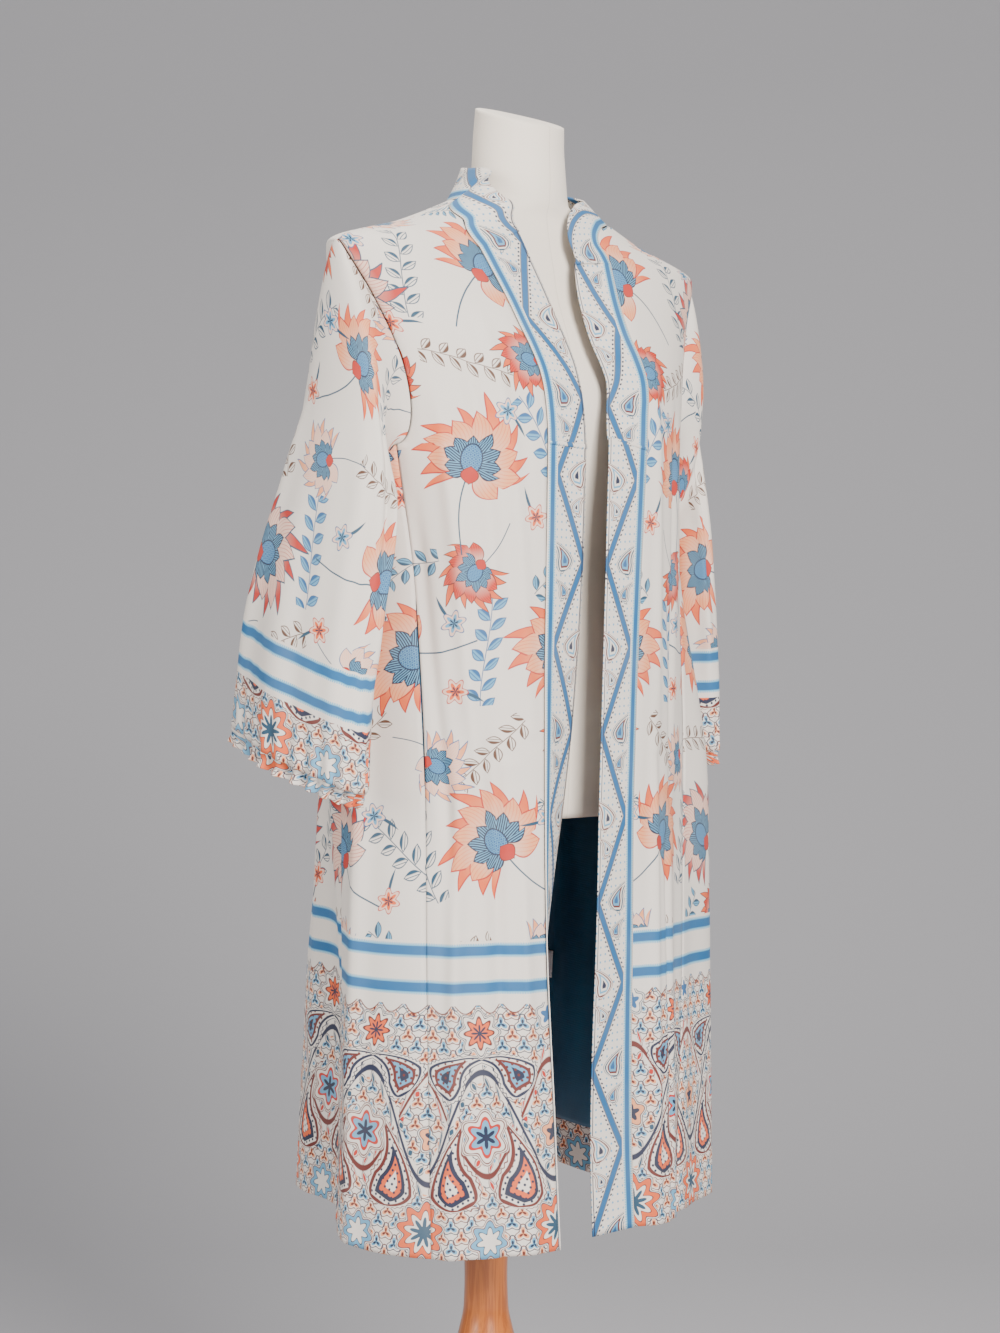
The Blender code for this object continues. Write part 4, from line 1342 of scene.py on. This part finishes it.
SATIN_TEAL = (0.006, 0.062, 0.135)
# A lighter teal painted on the satin as its highlight.
SATIN_PAINTED_HIGHLIGHT = (0.015, 0.14, 0.26)
LABEL_WHITE = (0.85, 0.86, 0.88)
LINING_WALL = 0.0008
SOLID_WALL = 0.0012
LINING_CLEARANCE = 0.0006
LINING_SWING = 0.0040
LINING_SWING_START = 0.80
LINING_RISE = 0.045
POCKET_WALL = 0.0006
POCKET_COLUMNS = 16
POCKET_ROWS = 40
POCKET_TOP = 1.085
POCKET_BOTTOM = 0.86
POCKET_REACH = 24.0
POCKET_TUCK = 1.0
LABEL_SIZE = (0.016, 0.029)
LABEL_CLEARANCE = 0.0018
LABEL_ANGLE = -127.0
LABEL_HEIGHT = 0.676
LABEL_WALL = 0.0004
LABEL_COLUMNS = 8
LABEL_ROWS = 14
LABEL_RIB_GREY = (0.70, 0.72, 0.76)
LABEL_STITCH_GREY = (0.35, 0.38, 0.45)


def satin_finish():
    material, tree, u, v = cloth_material("back lining satin")
    shader = tree.nodes["Principled BSDF"]
    streaks = noise_over(tree, as_vector(tree, u * 6, v * 1.6), 4, 3)
    # Painted highlight: lighter teal streaks for the satin's soft sheen, on the same noise that sets its
    # roughness and relief.
    painted_highlight = (streaks - 0.35).through("MULTIPLY", 2.2, clamp=True)
    tree.links.new(printed_over(SATIN_TEAL, SATIN_PAINTED_HIGHLIGHT, painted_highlight), shader.inputs["Base Color"])
    threads = (u * 5200).sine() * 0.4 + (v * 2600).sine() * 0.2 + streaks * 3
    embossed(tree, shader, threads.socket, 0.3, 0.001)
    tree.links.new((streaks * 0.2 + 0.28).socket, shader.inputs["Roughness"])
    shader.inputs["Sheen Weight"].default_value = 0.2
    shader.inputs["Specular IOR Level"].default_value = 0.6
    return material


def lining_swing(height):
    """How far the lining hangs away from the back, more and more toward the hem."""
    return LINING_SWING * ramp(-height, -LINING_SWING_START, -HEM_HEIGHT)


lining_heights = [h for h in FINE_HEIGHTS if HEM_HEIGHT + LINING_RISE <= h < UNDERARM_HEIGHT]
lining_rows = panel_rows(
    lambda height: side_edge(height, 1, True),
    lambda height: 360 + side_edge(height, -1, True),
    BACK_COLUMNS,
    lining_heights,
    lambda height: -(SOLID_WALL + LINING_CLEARANCE + lining_swing(height)),
)
satin = satin_finish()
lining = cut_cloth("satin_back_lining", lining_rows, satin, body_core, anchor=0.5, wall=LINING_WALL)
sew(lining, "lining_back")

pocket_material, pocket_tree, pocket_u, pocket_v = cloth_material("pocket cloth")
pinstripes = printed_over(CREAM, SKY, pocket_u.repeated(0.004).outlined(0.0001))
finish_cloth(pocket_tree, pocket_u, pocket_v, pinstripes)
for side_name, side in (("right", 1), ("left", -1)):
    pocket_rows = panel_rows(
        lambda height: side_edge(height, side, False) - side * POCKET_REACH,
        lambda height: side_edge(height, side, False) - side * POCKET_TUCK,
        POCKET_COLUMNS,
        [POCKET_TOP + (POCKET_BOTTOM - POCKET_TOP) * i / POCKET_ROWS for i in range(POCKET_ROWS + 1)],
        lambda _: -(SOLID_WALL + LINING_CLEARANCE),
    )
    bag = cut_cloth(
        "pocket_bag_" + side_name, pocket_rows, pocket_material, body_core, anchor=0.0, wall=POCKET_WALL
    )
    sew(bag, "pocket_" + side_name)

label_material, label_tree, label_u, label_v = cloth_material("blank woven label")
label_shader = label_tree.nodes["Principled BSDF"]
tape = printed_over(LABEL_WHITE, LABEL_RIB_GREY, label_v.repeated(0.0011).outlined(0.0002))
stitched = (label_v - LABEL_SIZE[1] + 0.0025).outlined(0.0003) * label_u.repeated(0.0022).outlined(0.0007)
label_tree.links.new(printed_over(tape, LABEL_STITCH_GREY, stitched), label_shader.inputs["Base Color"])
label_shader.inputs["Roughness"].default_value = 0.6
label_degree = on_body(LABEL_ANGLE + 1, LABEL_HEIGHT) - on_body(LABEL_ANGLE, LABEL_HEIGHT)
label_spread = LABEL_SIZE[0] / 2 / label_degree.length
label_rows = panel_rows(
    lambda _: LABEL_ANGLE - label_spread,
    lambda _: LABEL_ANGLE + label_spread,
    LABEL_COLUMNS,
    [LABEL_HEIGHT + LABEL_SIZE[1] * (0.5 - i / LABEL_ROWS) for i in range(LABEL_ROWS + 1)],
    lambda _: -(2 * SOLID_WALL + LINING_CLEARANCE + lining_swing(LABEL_HEIGHT) + LABEL_CLEARANCE),
)
label = cut_cloth("blank_care_label", label_rows, label_material, body_core, anchor=0.0, wall=LABEL_WALL)
sew(label, "care_label")


# The dress form: a padded torso under a tight cover of cream cotton, on a turned and varnished post
# and a heavy round base. The neck is cut at a slant and its cover is drawn over the edge.

FORM_COLUMNS = 96
FORM_RINGS = [
    Ring(0.867, 0.148, 0.086, 0.108, 0.0, -0.030),
    Ring(0.875, 0.152, 0.089, 0.112, 0.0, -0.030),
    Ring(0.950, 0.153, 0.092, 0.112, 0.0, -0.030),
    Ring(1.030, 0.138, 0.090, 0.096, 0.0, -0.031),
    Ring(1.110, 0.124, 0.085, 0.086, 0.0, -0.033),
    Ring(1.180, 0.132, 0.090, 0.090, 0.0, -0.035),
    Ring(1.250, 0.148, 0.096, 0.095, 0.0, -0.038),
    Ring(1.320, 0.164, 0.080, 0.094, 0.0, -0.043),
    Ring(1.375, 0.180, 0.056, 0.080, 0.0, -0.048),
    Ring(1.404, 0.182, 0.047, 0.068, 0.0, -0.051),
    Ring(1.427, 0.164, 0.041, 0.058, 0.0, -0.052),
    Ring(1.452, 0.112, 0.038, 0.050, 0.0, -0.051),
    Ring(1.460, 0.074, 0.042, 0.047, 0.0, -0.049),
    Ring(1.468, 0.053, 0.045, 0.0455, 0.0, -0.048),
    Ring(1.490, 0.0485, 0.0460, 0.0450, 0.0, -0.048),
    Ring(1.520, 0.0460, 0.0450, 0.0440, 0.0, -0.048),
    Ring(1.552, 0.0440, 0.0435, 0.0435, 0.0, -0.050),
]
FORM_FOOT = FORM_RINGS[0].height
FORM_TOP = FORM_RINGS[-1].height
NECK_FOOT = 1.46
TORSO_ROWS = 110
NECK_ROWS = 34
FOOT_SHARES = (0.02, 0.5, 0.9, 0.99)
NECK_SLANT = 0.34
NECK_SLANT_START = 1.468
RIM_SHARES = (0.985, 0.94, 0.86, 0.6, 0.3)
RIM_DROPS = (0.0004, 0.0012, 0.0016, 0.0016, 0.0016)
COTTON_CREAM = (0.88, 0.80, 0.70)
COTTON_SHADE = (0.82, 0.73, 0.62)
COTTON_SEAM = (0.72, 0.64, 0.54)
COTTON_THREADS = 5000


def cotton_finish():
    material, tree, shader = blank_material("cotton form cover")
    place = tree.nodes.new("ShaderNodeTexCoord")
    parted = tree.nodes.new("ShaderNodeSeparateXYZ")
    tree.links.new(place.outputs["Object"], parted.inputs[0])
    x, y, z = (Drawn(socket) for socket in parted.outputs)
    handling = noise_over(tree, place.outputs["Object"], 9, 5)
    fluff = noise_over(tree, place.outputs["Object"], 700, 2)
    tone = (handling - 0.4).through("MULTIPLY", 1.2, clamp=True)
    colour = printed_over(COTTON_CREAM, COTTON_SHADE, tone)
    seam_line = x.outlined(0.0006, 0.0004)
    colour = printed_over(colour, COTTON_SEAM, seam_line * 0.6)
    tree.links.new(colour, shader.inputs["Base Color"])
    threads = (z * COTTON_THREADS).sine() * ((x + y) * COTTON_THREADS).sine() * 0.35
    height = threads + fluff * 0.5 - seam_line * 0.8
    embossed(tree, shader, height.socket, 0.35, 0.0006)
    tree.links.new((fluff * 0.2 + 0.75).socket, shader.inputs["Roughness"])
    shader.inputs["Sheen Weight"].default_value = 0.15
    return material


def form_ring(height, share=1.0, drop=0.0):
    """A ring round the torso. A share under 1 draws it in, for the foot and the neck's top."""
    ring = lookup(FORM_RINGS, height)
    slant = NECK_SLANT * ramp(height, NECK_SLANT_START, FORM_TOP)
    row = []
    for step in range(FORM_COLUMNS + 1):
        angle = 2 * math.pi * (step % FORM_COLUMNS) / FORM_COLUMNS
        depth = ring.front if math.cos(angle) > 0 else ring.back
        x = -ring.half_width * math.sin(angle) * share
        y = -depth * math.cos(angle) * share
        row.append(Vector((ring.centre_x + x, ring.centre_y + y, height + slant * (y + 0.005) + drop)))
    return row


form_heights = [FORM_FOOT + (NECK_FOOT - FORM_FOOT) * i / TORSO_ROWS for i in range(TORSO_ROWS)]
form_heights += [NECK_FOOT + (FORM_TOP - NECK_FOOT) * i / NECK_ROWS for i in range(NECK_ROWS + 1)]
form_rows = [form_ring(FORM_FOOT, share) for share in FOOT_SHARES]
form_rows += [form_ring(height) for height in form_heights]
form_rows += [form_ring(FORM_TOP, share, drop) for share, drop in zip(RIM_SHARES, RIM_DROPS)]
form_rows.append(form_ring(FORM_TOP, FOOT_SHARES[0], RIM_DROPS[-1]))
form, form_spots = grid_of(len(form_rows) - 1, FORM_COLUMNS)
for point, (j, i) in form_spots.items():
    point.co = form_rows[j][i]
bmesh.ops.remove_doubles(form, verts=form.verts, dist=0.00002)
bmesh.ops.holes_fill(form, edges=[edge for edge in form.edges if edge.is_boundary], sides=0)
bmesh.ops.recalc_face_normals(form, faces=form.faces)
stand_for(finished_piece("covered_torso", form, cotton_finish()), "form_torso")

Turning = namedtuple("Turning", "height radius")
POST_PROFILE = [
    Turning(0.8667, 0.0225),
    Turning(0.450, 0.0225),
    Turning(0.405, 0.0215),
    Turning(0.375, 0.0225),
    Turning(0.350, 0.0275),
    Turning(0.315, 0.0365),
    Turning(0.275, 0.0400),
    Turning(0.225, 0.0365),
    Turning(0.165, 0.0270),
    Turning(0.120, 0.0215),
    Turning(0.095, 0.0215),
    Turning(0.085, 0.0300),
    Turning(0.070, 0.0300),
    Turning(0.060, 0.0235),
    Turning(0.0353, 0.0235),
]
BASE_PROFILE = [
    Turning(0.0350, 0.060),
    Turning(0.0320, 0.120),
    Turning(0.0260, 0.195),
    Turning(0.0200, 0.207),
    Turning(0.0120, 0.210),
    Turning(0.0030, 0.208),
    Turning(0.0000, 0.204),
]
TURNED_STEPS = 96
PROFILE_STEP = 0.004
SHARP_EDGE = math.radians(40)
VARNISH = (0.56, 0.165, 0.030)
DARK_GRAIN = (0.30, 0.065, 0.012)


def varnished_wood(name, upright):
    """Orange-brown varnish over straight grain, along the post or across the base."""
    material, tree, shader = blank_material(name)
    place = tree.nodes.new("ShaderNodeTexCoord")
    stretch = tree.nodes.new("ShaderNodeMapping")
    stretch.inputs["Scale"].default_value = (14, 14, 1.1) if upright else (2, 26, 26)
    tree.links.new(place.outputs["Object"], stretch.inputs["Vector"])
    figure = noise_over(tree, stretch.outputs[0], 6, 8, 0.4)
    rings = ((figure * 46).sine() * 0.5 + 0.5) * 0.55
    tree.links.new(printed_over(VARNISH, DARK_GRAIN, rings), shader.inputs["Base Color"])
    tree.links.new((figure * 0.2 + 0.22).socket, shader.inputs["Roughness"])
    embossed(tree, shader, figure.socket, 0.12, 0.0008)
    shader.inputs["Coat Weight"].default_value = 0.6
    shader.inputs["Coat Roughness"].default_value = 0.12
    return material


def turn_wood(name, node, profile, material):
    """Spin a profile, smoothed between its stated radii, into a closed turning."""
    rising = list(reversed(profile))
    outline = []
    for low, high in zip(rising, rising[1:]):
        rise = high.height - low.height
        steps = max(2, round(math.hypot(rise, high.radius - low.radius) / PROFILE_STEP))
        for step in range(steps):
            outline.append(lookup(rising, low.height + rise * step / steps))
    outline.append(rising[-1])
    turning = bmesh.new()
    axis_foot = turning.verts.new((0, 0, outline[0].height))
    line = [axis_foot] + [turning.verts.new((row.radius, 0, row.height)) for row in outline]
    line.append(turning.verts.new((0, 0, outline[-1].height)))
    edges = [turning.edges.new(pair) for pair in zip(line, line[1:])]
    bmesh.ops.spin(
        turning,
        geom=line + edges,
        axis=(0, 0, 1),
        cent=(0, 0, 0),
        angle=2 * math.pi,
        steps=TURNED_STEPS,
        use_merge=True,
    )
    bmesh.ops.remove_doubles(turning, verts=turning.verts, dist=0.00001)
    bmesh.ops.recalc_face_normals(turning, faces=turning.faces)
    piece = finished_piece(name, turning, material)
    piece.data.set_sharp_from_angle(angle=SHARP_EDGE)
    stand_for(piece, node)


turn_wood("turned_post", "form_post", POST_PROFILE, varnished_wood("varnished post", True))
turn_wood("turned_base", "form_base", BASE_PROFILE, varnished_wood("varnished base", False))
